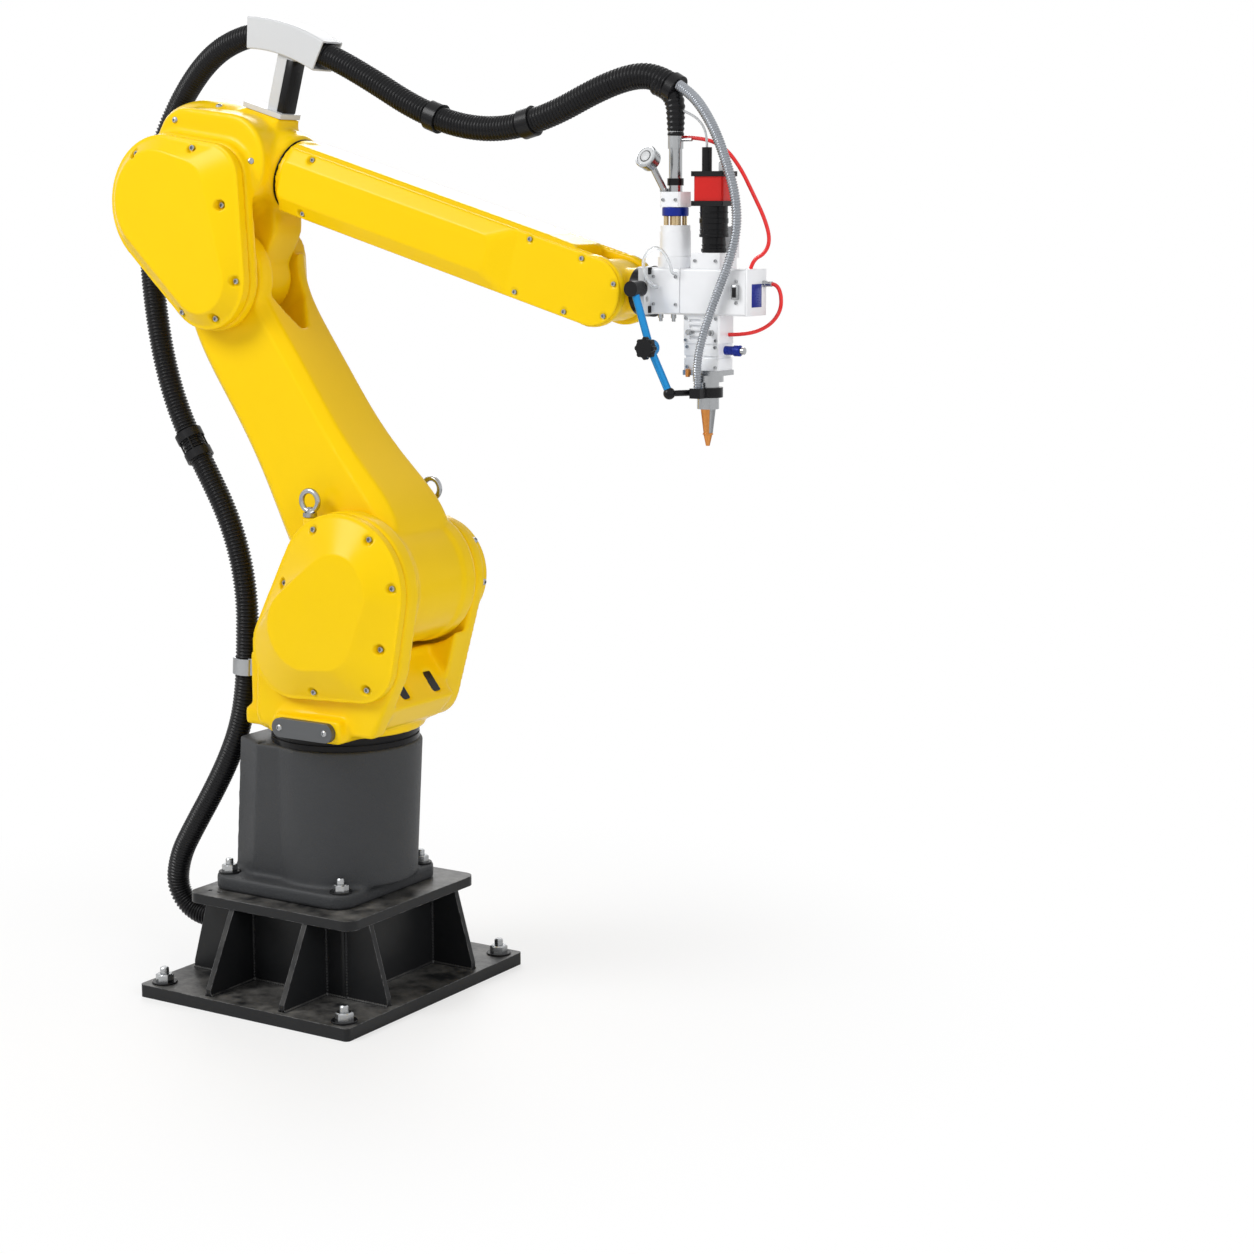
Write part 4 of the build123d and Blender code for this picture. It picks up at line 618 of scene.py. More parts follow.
def wear_group():
    """Mask of paint rubbed off along edges."""
    tree, given, made = shader_group("edge wear", {"Amount": 0.5, "Radius": 0.0022, "Scale": 60.0}, ("Mask",))
    surface = tree.nodes.new("ShaderNodeNewGeometry")
    bevel = tree.nodes.new("ShaderNodeBevel")
    bevel.samples = BEVEL_SAMPLES
    agree = tree.nodes.new("ShaderNodeVectorMath")
    agree.operation = "DOT_PRODUCT"
    edge = add_node(tree, "ShaderNodeMapRange", From_Min=0.99, From_Max=0.86)
    wire(tree, (given, "Radius", bevel, "Radius"), (bevel, "Normal", agree, 0), (surface, "Normal", agree, 1),
         (agree, "Value", edge, "Value"))
    patchy_mask(tree, given, made, edge, 0.38, 0.62, Detail=4.0, Roughness=0.7)


def add_group(tree, group, **inputs):
    """New node of a shared group with some of its inputs set."""
    node = tree.nodes.new("ShaderNodeGroup")
    node.node_tree = bpy.data.node_groups[group]
    return set_inputs(node, **inputs)


def colour_mix(tree, share, first, second):
    """Output that mixes two colours, each a plain one or another output, by the share of the second."""
    mix = tree.nodes.new("ShaderNodeMix")
    mix.data_type = "RGBA"
    tree.links.new(share, mix.inputs["Factor"])
    for name, value in (("A", first), ("B", second)):
        if isinstance(value, bpy.types.NodeSocket):
            tree.links.new(value, mix.inputs[name])
        else:
            mix.inputs[name].default_value = (*value, 1)
    return mix.outputs["Result"]


def finish_material(name, base, spread=0.06, roughness=0.4, roughness_spread=0.08, metallic=0.0, coat=0.0,
                    broad=5.0, fine=300.0, rough_share=0.3, bump=0.05, bump_depth=0.0005, stretch=(1, 1, 1),
                    dust=0.0, round_edge=0.0, specular=0.5, wear=0.0, ior=1.5, clear=0.0):
    """One paint, metal or plastic: tone and roughness vary with the grain, which also lifts the surface."""
    material = bpy.data.materials.new(name + FINISH_MARK)
    material.use_nodes = True
    tree = material.node_tree
    shader = set_inputs(tree.nodes["Principled BSDF"], Metallic=metallic, Coat_Weight=coat, IOR=ior,
                        Coat_Roughness=COAT_ROUGHNESS, Specular_IOR_Level=specular, Transmission_Weight=clear)
    where = tree.nodes.new("ShaderNodeTexCoord")
    turn = add_node(tree, "ShaderNodeMapping", Scale=stretch)
    grain = add_group(tree, "surface grain", Broad=broad, Fine=fine, Rough_Share=rough_share)
    dark = [value * (1 - spread) for value in base]
    light = [min(1, value * (1 + spread)) for value in base]
    paint = colour_mix(tree, grain.outputs["Tone"], dark, light)
    # Dust lightens upward faces and also stands in for a painted highlight on the pedestal's tops; wear
    # lightens the edges
    for group, amount, tint in (("settled dust", dust, DUST_AND_SHEEN_TINT), ("edge wear", wear, BARE_TINT)):
        if amount:
            layer = add_group(tree, group, Amount=amount)
            wire(tree, (where, "Object", layer, "Vector"))
            paint = colour_mix(tree, layer.outputs["Mask"], paint, tint)
    tree.links.new(paint, shader.inputs["Base Color"])
    gloss = add_node(tree, "ShaderNodeMapRange", To_Min=roughness - roughness_spread,
                     To_Max=roughness + roughness_spread)
    lift = add_node(tree, "ShaderNodeBump", Strength=bump, Distance=bump_depth)
    wire(tree, (where, "Object", turn, "Vector"), (turn, "Vector", grain, "Vector"),
         (grain, "Tone", gloss, "Value"), (gloss, "Result", shader, "Roughness"),
         (grain, "Height", lift, "Height"), (lift, "Normal", shader, "Normal"))
    if round_edge:
        bevel = add_node(tree, "ShaderNodeBevel", Radius=round_edge)
        bevel.samples = BEVEL_SAMPLES
        wire(tree, (bevel, "Normal", lift, "Normal"))
    return material


# Geometry node trees

def geometry_tree(name, inputs):
    """Empty geometry tree with named inputs of a kind and a default, and its two end nodes."""
    tree = bpy.data.node_groups.new(name, "GeometryNodeTree")
    tree.interface.new_socket("Geometry", in_out="INPUT", socket_type="NodeSocketGeometry")
    for label, kind, value in inputs:
        socket = tree.interface.new_socket(label, in_out="INPUT", socket_type="NodeSocket" + kind)
        if value is not None:
            socket.default_value = value
    tree.interface.new_socket("Geometry", in_out="OUTPUT", socket_type="NodeSocketGeometry")
    return tree, tree.nodes.new("NodeGroupInput"), tree.nodes.new("NodeGroupOutput")


def finished_output(tree, given, made, source, output):
    """Ends a geometry tree: its copies become real and take the material."""
    realize = tree.nodes.new("GeometryNodeRealizeInstances")
    dress = tree.nodes.new("GeometryNodeSetMaterial")
    wire(tree, (source, output, realize, "Geometry"), (realize, "Geometry", dress, "Geometry"),
         (given, "Material", dress, "Material"), (dress, "Geometry", made, "Geometry"))


def ribbed_tube_tree():
    """Tube along a curve whose radius dips into a groove once a pitch."""
    tree, given, made = geometry_tree("ribbed tube", (
        ("Start", "Float", 0.0), ("End", "Float", 1.0), ("Radius", "Float", 0.02), ("Pitch", "Float", 0.007),
        ("Depth", "Float", 0.002), ("Steps", "Float", 6.0), ("Sides", "Int", 20), ("Taper", "Float", 0.0),
        ("Material", "Material", None),
    ))
    trim = tree.nodes.new("GeometryNodeTrimCurve")
    trim.mode = "LENGTH"
    resample = tree.nodes.new("GeometryNodeResampleCurve")
    resample.mode = "LENGTH"
    step = math_node(tree, "DIVIDE", given.outputs["Pitch"], given.outputs["Steps"])
    tree.links.new(step, resample.inputs["Length"])
    along = tree.nodes.new("GeometryNodeSplineParameter")
    ribs = math_node(tree, "DIVIDE", along.outputs["Length"], given.outputs["Pitch"])
    turn = math_node(tree, "MULTIPLY", ribs, tau)
    wave = math_node(tree, "MULTIPLY_ADD", math_node(tree, "COSINE", turn), 0.5)
    wave.node.inputs[2].default_value = 0.5
    dip = math_node(tree, "MULTIPLY", math_node(tree, "POWER", wave, 1.3), given.outputs["Depth"])
    growth = math_node(tree, "MULTIPLY", along.outputs["Factor"], given.outputs["Taper"])
    radius = math_node(tree, "SUBTRACT", math_node(tree, "ADD", given.outputs["Radius"], growth), dip)
    profile = add_node(tree, "GeometryNodeCurvePrimitiveCircle", Radius=1.0)
    sweep = add_node(tree, "GeometryNodeCurveToMesh", Fill_Caps=True)
    tree.links.new(radius, sweep.inputs["Scale"])
    smooth = tree.nodes.new("GeometryNodeSetShadeSmooth")
    start_input, end_input = 4, 5
    wire(tree, (given, "Geometry", trim, "Curve"), (given, "Start", trim, start_input),
         (given, "End", trim, end_input), (trim, "Curve", resample, "Curve"),
         (given, "Sides", profile, "Resolution"), (resample, "Curve", sweep, "Curve"),
         (profile, "Curve", sweep, "Profile Curve"), (sweep, "Mesh", smooth, "Geometry"))
    finished_output(tree, given, made, smooth, "Geometry")


def placed_copies_tree():
    """Copies of one small part on points, each turned along the point's own direction."""
    tree, given, made = geometry_tree("placed copies", (
        ("Part", "Object", None), ("Size", "Float", 1.0), ("Material", "Material", None),
    ))
    part = tree.nodes.new("GeometryNodeObjectInfo")
    way = add_node(tree, "GeometryNodeInputNamedAttribute", Name="facing")
    way.data_type = "FLOAT_VECTOR"
    turn = tree.nodes.new("FunctionNodeAlignRotationToVector")
    turn.axis = "Z"
    copies = tree.nodes.new("GeometryNodeInstanceOnPoints")
    wire(tree, (given, "Geometry", copies, "Points"), (given, "Part", part, "Object"),
         (part, "Geometry", copies, "Instance"), (way, "Attribute", turn, "Vector"),
         (turn, "Rotation", copies, "Rotation"), (given, "Size", copies, "Scale"))
    finished_output(tree, given, made, copies, "Instances")


def with_nodes(thing, tree_name, **values):
    """Puts a geometry tree on an object, with its inputs set by their names."""
    tree = bpy.data.node_groups[tree_name]
    modifier = thing.modifiers.new(tree_name, "NODES")
    modifier.node_group = tree
    names = {item.name: item.identifier for item in tree.interface.items_tree if item.in_out == "INPUT"}
    for name, value in values.items():
        modifier[names[name]] = value
    return thing


def copies_on(name, mesh, places, size, slot, body):
    """One piece made of copies of a small mesh at places, each a point and a direction."""
    part = new_object(name + "_part", mesh)
    points = bpy.data.meshes.new(name + "_points")
    points.from_pydata([place for place, way in places], [], [])
    ways = points.attributes.new("facing", "FLOAT_VECTOR", "POINT")
    ways.data.foreach_set("vector", [value for place, way in places for value in way])
    holder = with_nodes(new_object(name, points), "placed copies", Part=part, Size=size,
                        Material=finish(slot))
    piece = settled(holder, name)
    bpy.data.objects.remove(part)
    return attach(piece, body)


def route_curve(name, points):
    """Smooth curve with the route's points as its control points."""
    curve = bpy.data.curves.new(name, "CURVE")
    curve.dimensions = "3D"
    spline = curve.splines.new("NURBS")
    spline.points.add(len(points) - 1)
    for point, place in zip(spline.points, points):
        point.co = (*place, 1)
    spline.order_u = 3
    spline.use_endpoint_u = True
    spline.resolution_u = 12
    return new_object(name, curve)


def line_of(points):
    """Points along the smooth curve of a route."""
    line = settled(route_curve("route_line", points), "route_line")
    places = [vertex.co.copy() for vertex in line.data.vertices]
    bpy.data.objects.remove(line)
    return places


def lengths_along(places):
    """Length of a line from its start to each of its points."""
    lengths = [0.0]
    for before, after in zip(places, places[1:]):
        lengths.append(lengths[-1] + (after - before).length)
    return lengths


def nearest(line, place):
    """Number of the point of a line that is nearest to a place."""
    return min(range(len(line)), key=lambda index: (line[index] - place).length)


def tube_piece(name, points, start, end, radius, pitch, depth, slot, sides=20, taper=0.0):
    """Ribbed tube along part of a route, from one length along it to another."""
    tube = with_nodes(route_curve(name, points), "ribbed tube", Start=start, End=end, Radius=radius,
                      Pitch=pitch, Depth=depth, Sides=sides, Taper=taper, Material=finish(slot))
    piece = settled(tube, name)
    return piece


# Castings and covers

def merged_copy(node, name):
    """Copy of a node's mesh with its loose triangles joined."""
    mesh = frame["nodes"][node].data.copy()
    shape = bmesh.new()
    shape.from_mesh(mesh)
    bmesh.ops.remove_doubles(shape, verts=shape.verts, dist=MERGE_DISTANCE)
    shape.to_mesh(mesh)
    shape.free()
    return new_object(name, mesh)


def cast_skin(node, grain, rounds, pockets=()):
    """Softly rounded skin of a node, with round pockets cut into it, in place of the node."""
    skin = merged_copy(node, node + "_skin")
    cutter = None
    if pockets:
        drums = []
        for place, way, radius, deep in pockets:
            drums.append(turned_at([(radius, -deep), (radius, deep)], place, way, 20))
        cutter = new_object(node + "_pockets", mesh_of(node + "_pockets", *drums))
        cut = skin.modifiers.new("pockets", "BOOLEAN")
        cut.operation = "DIFFERENCE"
        cut.solver = "EXACT"
        cut.object = cutter
    remesh = skin.modifiers.new("even", "REMESH")
    remesh.mode = "VOXEL"
    remesh.voxel_size = grain
    soften = skin.modifiers.new("soften", "SMOOTH")
    soften.factor = 0.5
    soften.iterations = rounds
    skin = smooth_shaded(settled(skin, node + "_skin"))
    if cutter:
        bpy.data.objects.remove(cutter)
    painted(skin, SLOT_OF[node])
    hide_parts(node)
    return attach(skin, frame["nodes"][node]["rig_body"])


def on_cover(offsets, joint, level):
    """Places on a side cover, from offsets forward and up from a joint, at a level of Y."""
    return [Vector((joint.x + x, level, joint.z + z)) for x, z in offsets]


def on_tilted_cover(offsets, origin, level):
    """The same along the tilted axes of the elbow and the forearm."""
    return [origin + FORWARD * x + LIFT * z + SIDE * level for x, z in offsets]


def cover_screws():
    """Places, direction and share of the full size of each cover's screws."""
    shoulder, elbow, forearm = (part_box(node)[1].y - seat for node, seat in COVER_SEATS.items())
    share = FOREARM_SCREW_SHARE
    return {
        "shoulder_cover": (on_cover(SHOULDER_COVER_SCREWS, SHOULDER, shoulder), NEAR, 1.0),
        "elbow_side_cover": (on_tilted_cover(ELBOW_COVER_SCREWS, ELBOW, elbow), NEAR, 1.0),
        "forearm_cover_near": (on_tilted_cover(FOREARM_COVER_SCREWS, AXIS_FOOT, forearm), NEAR, share),
        "forearm_cover_far": (on_tilted_cover(FOREARM_COVER_SCREWS, AXIS_FOOT, -forearm), SIDE, share),
    }


def socket_screw_mesh():
    """Socket head screw of radius 1 whose seat is at height 0."""
    head = lathe([(1.0, -0.4), (1.0, 0.75), (0.86, 0.95), (0.56, 0.95, 6), (0.52, 0.30, 6)])
    return mesh_of("socket_screw", head)


def button_screw_mesh():
    """Low round-headed screw of radius 1 with a six-sided socket, whose seat is at height 0."""
    head = lathe([(1.15, -0.2), (1.15, 0.10), (1.02, 0.34), (0.76, 0.52), (0.50, 0.58, 6), (0.46, 0.20, 6)])
    return mesh_of("button_screw", head)


def nut_mesh():
    """Hexagon nut and stud end of a bolt, of nut radius 1 over the flats."""
    nut = lathe([(1.0, 0.20, 6), (1.0, 1.06, 6), (0.90, 1.20), (0.58, 1.20), (0.56, 1.10)], 24)
    stud = lathe([(0.56, 1.0), (0.56, 1.9), (0.44, 2.05)], 16)
    return mesh_of("nut", nut, stud)


def washer_mesh():
    """Flat washer for a nut of radius 1."""
    washer = lathe([(1.62, -0.02), (1.62, 0.15), (1.54, 0.22), (0.5, 0.22)], 28)
    return mesh_of("washer", washer)


def corners(long, wide, level, shift=0.0):
    """Four upright places at the corners of a rectangle."""
    return [(Vector((shift + sx * long / 2, sy * wide / 2, level)), UP) for sx in (-1, 1) for sy in (-1, 1)]


def weld_lines(sizes):
    """Straight lines where the riser's walls and ribs are welded to the plates and to each other."""
    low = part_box("floor_plate")[1].z
    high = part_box("riser_top_plate")[0].z
    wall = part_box("riser_box")[1].x
    half = sizes.rib_thick / 2
    lines = []
    for quarter in range(4):
        turn = Matrix.Rotation(quarter * pi / 2, 4, "Z")
        pitch, reach = sizes.rib_pitch_sides, sizes.rib_foot_sides
        if quarter % 2 == 0:
            pitch, reach = sizes.rib_pitch_ends, sizes.rib_foot_ends
        ends = [((wall, -wall, level), (wall, wall, level)) for level in (low, high)]
        for side in (-pitch / 2 - half, -pitch / 2 + half, pitch / 2 - half, pitch / 2 + half):
            ends.append(((wall, side, low), (wall + reach, side, low)))
            if abs(side) < wall:
                ends.append(((wall, side, low), (wall, side, high)))
        lines += [(turn @ Vector(start), turn @ Vector(end)) for start, end in ends]
    return lines


class ROBOT_OT_paint(bpy.types.Operator):
    """Makes the finishes and paints every solid with the finish of its slot"""
    bl_idname = "robot.paint"
    bl_label = "Paint solids"

    def execute(self, context):
        for make in (grain_group, dust_and_sheen_group, wear_group, ribbed_tube_tree, placed_copies_tree):
            make()
        paints = context.scene.robot_paints
        for slot, (paint, look) in FINISHES.items():
            finish_material(slot, getattr(paints, paint), **look)
        for node, slot in SLOT_OF.items():
            refinish(frame["nodes"][node], slot)
        return {"FINISHED"}


class ROBOT_OT_castings(bpy.types.Operator):
    """Gives the castings and covers their soft cast edges and screw pockets"""
    bl_idname = "robot.castings"
    bl_label = "Castings and covers"

    def execute(self, context):
        sizes = context.scene.robot_sizes
        for node, rounds in LARGE_CASTINGS.items():
            cast_skin(node, sizes.large_grain, rounds)
        for node, (places, way, share) in cover_screws().items():
            radius = sizes.screw_pocket * share
            pockets = [(place + way * POCKET_REACH, way, radius, POCKET_REACH) for place in places]
            cast_skin(node, sizes.small_grain, COVER_ROUNDS, pockets)
        for node, rounds in MIDDLE_CASTINGS.items():
            cast_skin(node, sizes.middle_grain, rounds)
        return {"FINISHED"}


class ROBOT_OT_screws(bpy.types.Operator):
    """Seats the socket screws in the covers"""
    bl_idname = "robot.screws"
    bl_label = "Cover screws"

    def execute(self, context):
        size = context.scene.robot_sizes.cover_screw
        for node, (places, way, share) in cover_screws().items():
            copies_on(node + "_screws", socket_screw_mesh(), [(place, way) for place in places], size * share,
                      "zinc_steel", frame["nodes"][node]["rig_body"])
        return {"FINISHED"}


class ROBOT_OT_bolts(bpy.types.Operator):
    """Sets the floor anchors and the foot bolts"""
    bl_idname = "robot.bolts"
    bl_label = "Anchors and foot bolts"

    def execute(self, context):
        sizes = context.scene.robot_sizes
        plate_low, plate_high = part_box("floor_plate")
        spread = plate_high - plate_low - 2 * Vector((sizes.anchor_inset, sizes.anchor_inset, 0))
        anchors = corners(spread.x, spread.y, plate_high.z)
        foot_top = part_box("riser_top_plate")[1].z + FOOT_FLANGE
        foot_bolts = corners(sizes.foot_bolt_pitch, sizes.foot_bolt_cross, foot_top, sizes.foot_shift)
        for name, places, size in (("floor_anchor", anchors, sizes.anchor_nut),
                                   ("foot_bolt", foot_bolts, sizes.foot_bolt)):
            copies_on(name + "_nuts", nut_mesh(), places, size, "zinc_steel", "base")
            copies_on(name + "_washers", washer_mesh(), places, size, "black_metal", "base")
        return {"FINISHED"}


def loose_parts(node):
    """Separate meshes of a node that has more than one solid."""
    whole = merged_copy(node, node + "_whole")
    shape = bmesh.new()
    shape.from_mesh(whole.data)
    bpy.data.objects.remove(whole)
    left = set(shape.verts)
    meshes = []
    while left:
        part, edge = set(), {min(left, key=lambda vert: vert.index)}
        while edge:
            part |= edge
            edge = {link.other_vert(vert) for vert in edge for link in vert.link_edges} - part
        left -= part
        copy = shape.copy()
        copy.verts.ensure_lookup_table()
        keep = {vert.index for vert in part}
        others = [vert for vert in copy.verts if vert.index not in keep]
        bmesh.ops.delete(copy, geom=others, context="VERTS")
        mesh = bpy.data.meshes.new(f"{node}_{len(meshes) + 1}")
        copy.to_mesh(mesh)
        copy.free()
        meshes.append(mesh)
    shape.free()
    return meshes


class ROBOT_OT_conduit(bpy.types.Operator):
    """Runs the ribbed conduit from the pedestal over the elbow to the head"""
    bl_idname = "robot.conduit"
    bl_label = "Conduit"

    def execute(self, context):
        sizes = context.scene.robot_sizes
        stretches = list(CONDUIT_STRETCHES.values())
        route = [point for stretch in stretches for point in stretch]
        holds = [(Vector(a[-1]) + Vector(b[0])) / 2 for a, b in zip(stretches, stretches[1:])]
        line = line_of(route)
        lengths = lengths_along(line)
        stops = [0, *[nearest(line, hold) for hold in holds], len(line) - 1]
        runs = list(zip(CONDUIT_STRETCHES, stops, stops[1:]))
        for mesh in loose_parts("conduit_bands"):
            middle = sum((vertex.co for vertex in mesh.vertices), Vector()) / len(mesh.vertices)
            near = nearest(line, middle)
            (first, second), low, high = next(run for run in runs if near <= run[2])
            band = painted(smooth_shaded(new_object(mesh.name, mesh)), "black_plastic")
            band.data.set_sharp_from_angle(angle=SHARP_ANGLE)
            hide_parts("conduit_bands")
            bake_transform(band)
        for (first, second), low, high in runs:
            node = f"conduit_{first.replace('lower_', '')}_run"
            piece = tube_piece(node + "_ribs", route, lengths[low], lengths[high], sizes.conduit_radius,
                               sizes.rib_pitch, sizes.rib_depth, "black_plastic")
            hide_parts(node)
            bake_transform(piece)
        return {"FINISHED"}


class ROBOT_OT_hoses(bpy.types.Operator):
    """Lays the thin hoses and tubes of the welding head"""
    bl_idname = "robot.hoses"
    bl_label = "Hoses of the head"

    def execute(self, context):
        sizes = context.scene.robot_sizes
        jobs = [
            ("feed_hose_spiral", "feed_hose", [FEED_HOSE_ROUTE], sizes.feed_hose_radius,
             sizes.feed_hose_pitch, sizes.feed_hose_depth, "grey_hose", FEED_HOSE_SWELL),
            ("red_hose", "red_hoses", RED_HOSE_ROUTES, sizes.red_hose_radius, PLAIN_PITCH, 0.0,
             "red_hose", 0.0),
            ("camera_lead", None, [CAMERA_LEAD_ROUTE], sizes.camera_lead_radius, PLAIN_PITCH, 0.0,
             "white_paint", 0.0),
            ("clear_tube", "clear_tubes", [CLEAR_TUBE_ROUTE], sizes.clear_tube_radius, PLAIN_PITCH, 0.0,
             "clear_tube", 0.0),
        ]
        for name, node, routes, radius, pitch, depth, slot, swell in jobs:
            for index, route in enumerate(routes):
                line = line_of(route)
                long = lengths_along(line)[-1]
                piece = tube_piece(f"{name}_{index + 1}", route, 0.0, long, radius + swell, pitch, depth,
                                   slot, sides=HOSE_SIDES, taper=-2 * swell)
                if node:
                    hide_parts(node)
                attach(piece, "tool")
        return {"FINISHED"}


def head_shapes(boxes, bars):
    """Mesh data of boxes and bars that are measured from the wrist's axis."""
    shapes = [brick(on_head(*low), on_head(*high), edge) for low, high, edge in boxes]
    for radius, start, end, edge, sides in bars:
        shapes.append(bar(radius, on_head(*start), on_head(*end), edge, sides))
    return shapes


def knob_lobes():
    """Lobes of the support arm's star knob."""
    lobes = []
    for step in range(KNOB_LOBES):
        angle = step * tau / KNOB_LOBES
        way = Vector((cos(angle), 0, sin(angle))) * KNOB_RING
        lobes.append(bar(KNOB_LOBE_RADIUS, on_head(*KNOB_START) + way, on_head(*KNOB_END) + way, 0.0012, 14))
    return lobes


def painted_highlight_shell():
    """Thin bright shell round the lit side of the nozzle's cone, a painted highlight."""
    shape = bmesh.new()
    place = on_head(*HIGHLIGHT_SHELL_TOP)
    top, low = HIGHLIGHT_SHELL_RADII
    first, turn = HIGHLIGHT_SHELL_MIDDLE - HIGHLIGHT_SHELL_HALF, 2 * HIGHLIGHT_SHELL_HALF
    angles = [first + turn * step / HIGHLIGHT_SHELL_STEPS for step in range(HIGHLIGHT_SHELL_STEPS + 1)]
    rows = []
    for radius, height in ((top, 0), (top + HIGHLIGHT_SHELL_THICK, 0), (low + HIGHLIGHT_SHELL_THICK, -HIGHLIGHT_SHELL_TALL),
                           (low, -HIGHLIGHT_SHELL_TALL)):
        spots = [place + Vector((radius * cos(angle), radius * sin(angle), height)) for angle in angles]
        rows.append([shape.verts.new(spot) for spot in spots])
    for row, after in zip(rows, rows[1:] + rows[:1]):
        for step in range(HIGHLIGHT_SHELL_STEPS):
            shape.faces.new((row[step], row[step + 1], after[step + 1], after[step]))
    for end in (0, -1):
        shape.faces.new([row[end] for row in rows])
    return shape


def head_end():
    """Thin end plate of the head's box with its blank plate and the fitting of the lower red hose."""
    low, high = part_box("head_end_cap")
    face = low.x + END_PLATE
    plate = dressed("head_end_plate", "head_aluminium", "tool", [brick(low, (face, high.y, high.z), 0.0014)])
    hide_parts("head_end_cap")
    (left, foot), (right, top) = BLANK_PLATE
    dressed("head_blank_plate", "blue_anodised", "tool", [
        brick((face - 0.0006, left, WRIST.z + foot), (face + 0.0007, right, WRIST.z + top), 0.0004)])
    start = Vector(RED_HOSE_ROUTES[1][0])
    dressed("hose_fitting", "zinc_steel", "tool", [
        bar(0.0066, (face - 0.001, start.y, start.z), (face + 0.006, start.y, start.z), 0.0008, 6),
        bar(0.0050, (face, start.y, start.z), start + Vector((0.003, 0, 0)), 0.0008)])


def lens_rings():
    """Grip rings of the camera's lens."""
    low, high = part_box("camera_lens")
    middle = (low + high) / 2
    third = (high.z - low.z) / 3
    inset, bevel = LENS_RING_EDGE
    rings = []
    for radius, tall, thirds, rise in LENS_RINGS:
        profile = [(radius - inset, 0), (radius, bevel), (radius, tall - bevel), (radius - inset, tall)]
        place = (middle.x, middle.y, low.z + thirds * third + rise)
        rings.append(turned_at(profile, place, UP, 48))
    dressed("lens_rings", "black_metal", "tool", rings)


def dial():
    """Round dial on its stalk, in place of the plain cap."""
    hub, foot = on_head(*DIAL_HUB), on_head(*DIAL_FOOT)
    face = hub + DIAL_WAY * DIAL_FACE_RISE
    half = DIAL_STALK
    knob = dressed("dial_knob", "zinc_steel", "tool", [
        brick(foot - Vector((half, half, 0)), foot + Vector((half, half, half)), 0.0008),
        bar(DIAL_STALK, foot + Vector((0, 0, 0.003)), hub, 0.0005),
        turned_at(DIAL_BODY, hub, DIAL_WAY, 48)])
    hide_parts("dial_cap")
    dressed("dial_face", "white_paint", "tool", [
        turned_at(DIAL_DISC, face, DIAL_WAY, 40), turned_at(DIAL_BOSS, face, DIAL_WAY)])
    dressed("dial_rings", "black_plastic", "tool", [turned_at(DIAL_GROOVE, face, DIAL_WAY)])


class ROBOT_OT_head(bpy.types.Operator):
    """Adds the fittings of the welding head"""
    bl_idname = "robot.head"
    bl_label = "Head fittings"

    def execute(self, context):
        screw = context.scene.robot_sizes.head_screw
        places = [(on_head(x, level, z), NEAR) for level, spots in HEAD_SCREWS.items() for x, z in spots]
        copies_on("head_screws", socket_screw_mesh(), places, screw, "zinc_steel", "tool")
        dressed("head_fittings", "zinc_steel", "tool", head_shapes(LATCH_BOXES, STEEL_BARS))
        band = turned_at(ENTRY_BAND, on_head(*ENTRY_BAND_PLACE), UP)
        dressed("head_dark_fittings", "black_plastic", "tool", [
            *head_shapes(DARK_BOXES, CAMERA_PINS), band, *knob_lobes()])
        head_end()
        lens_rings()
        # Painted highlight: a bright steel shell on the lit side of the copper nozzle
        dressed("nozzle_sleeve", "zinc_steel", "tool", [painted_highlight_shell()])
        dressed("nozzle_brass", "brass", "tool", head_shapes([], BRASS_BARS))
        dial()
        wrap = tube_piece("conduit_wrap", CONDUIT_WRAP_ROUTE, 0.0, 1.0, slot="black_plastic", **CONDUIT_WRAP)
        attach(wrap, "tool")
        dressed("camera_stub", "white_paint", "tool", head_shapes([], CAMERA_STUB))
        for node, slot in (("support_rods", "sky_anodised"), ("entry_posts", "pale_brass")):
            refinish(frame["nodes"][node], slot)
        return {"FINISHED"}


class ROBOT_OT_fittings(bpy.types.Operator):
    """Adds the small fittings of the castings and the conduit guide"""
    bl_idname = "robot.fittings"
    bl_label = "Fittings of the arm"

    def execute(self, context):
        sizes = context.scene.robot_sizes
        low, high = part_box("stop_plate")
        level = (low.z + high.z) / 2
        ends = (low.x + STOP_SCREW_INSET, high.x - STOP_SCREW_INSET)
        jobs = (("stop_plate_screws", [((x, low.y, level), NEAR) for x in ends], "turret"),
                ("housing_screws", HOUSING_SCREWS, "elbow"), ("cap_screws", CAP_SCREWS, "turret"))
        for name, spots, body in jobs:
            places = [(Vector(place), Vector(way)) for place, way in spots]
            copies_on(name, button_screw_mesh(), places, sizes.cover_screw, "zinc_steel", body)
        dressed("guide_post_face", "black_metal", "elbow", [
            brick(low, high, 0.0006, ELBOW_FRAME) for low, high in GUIDE_FACES])
        dressed("neck_seam", "black_metal", "elbow", [
            turned_at(NECK_SEAM, FOREARM_FRAME @ Vector(NECK_SEAM_PLACE), FORWARD, 64)])
        dressed("wrist_collar", "black_metal", "wrist", [
            turned_at(WRIST_COLLAR, on_head(*WRIST_COLLAR_PLACE), Vector((1, 0, 0)), 48)])
        return {"FINISHED"}


class ROBOT_OT_welds(bpy.types.Operator):
    """Lays the weld beads of the pedestal"""
    bl_idname = "robot.welds"
    bl_label = "Weld beads"

    def execute(self, context):
        sizes = context.scene.robot_sizes
        curve = bpy.data.curves.new("weld_runs", "CURVE")
        curve.dimensions = "3D"
        for start, end in weld_lines(sizes):
            run = curve.splines.new("POLY")
            run.points.add(1)
            run.points[0].co = (*start, 1)
            run.points[1].co = (*end, 1)
        runs = with_nodes(new_object("weld_runs", curve), "ribbed tube", Start=0.0, End=10.0,
                          Radius=sizes.weld_radius, Pitch=0.0062, Depth=0.0013, Steps=4.0, Sides=8,
                          Material=finish("dark_paint"))
        beads = settled(runs, "weld_beads")
        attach(beads, "base")
        return {"FINISHED"}


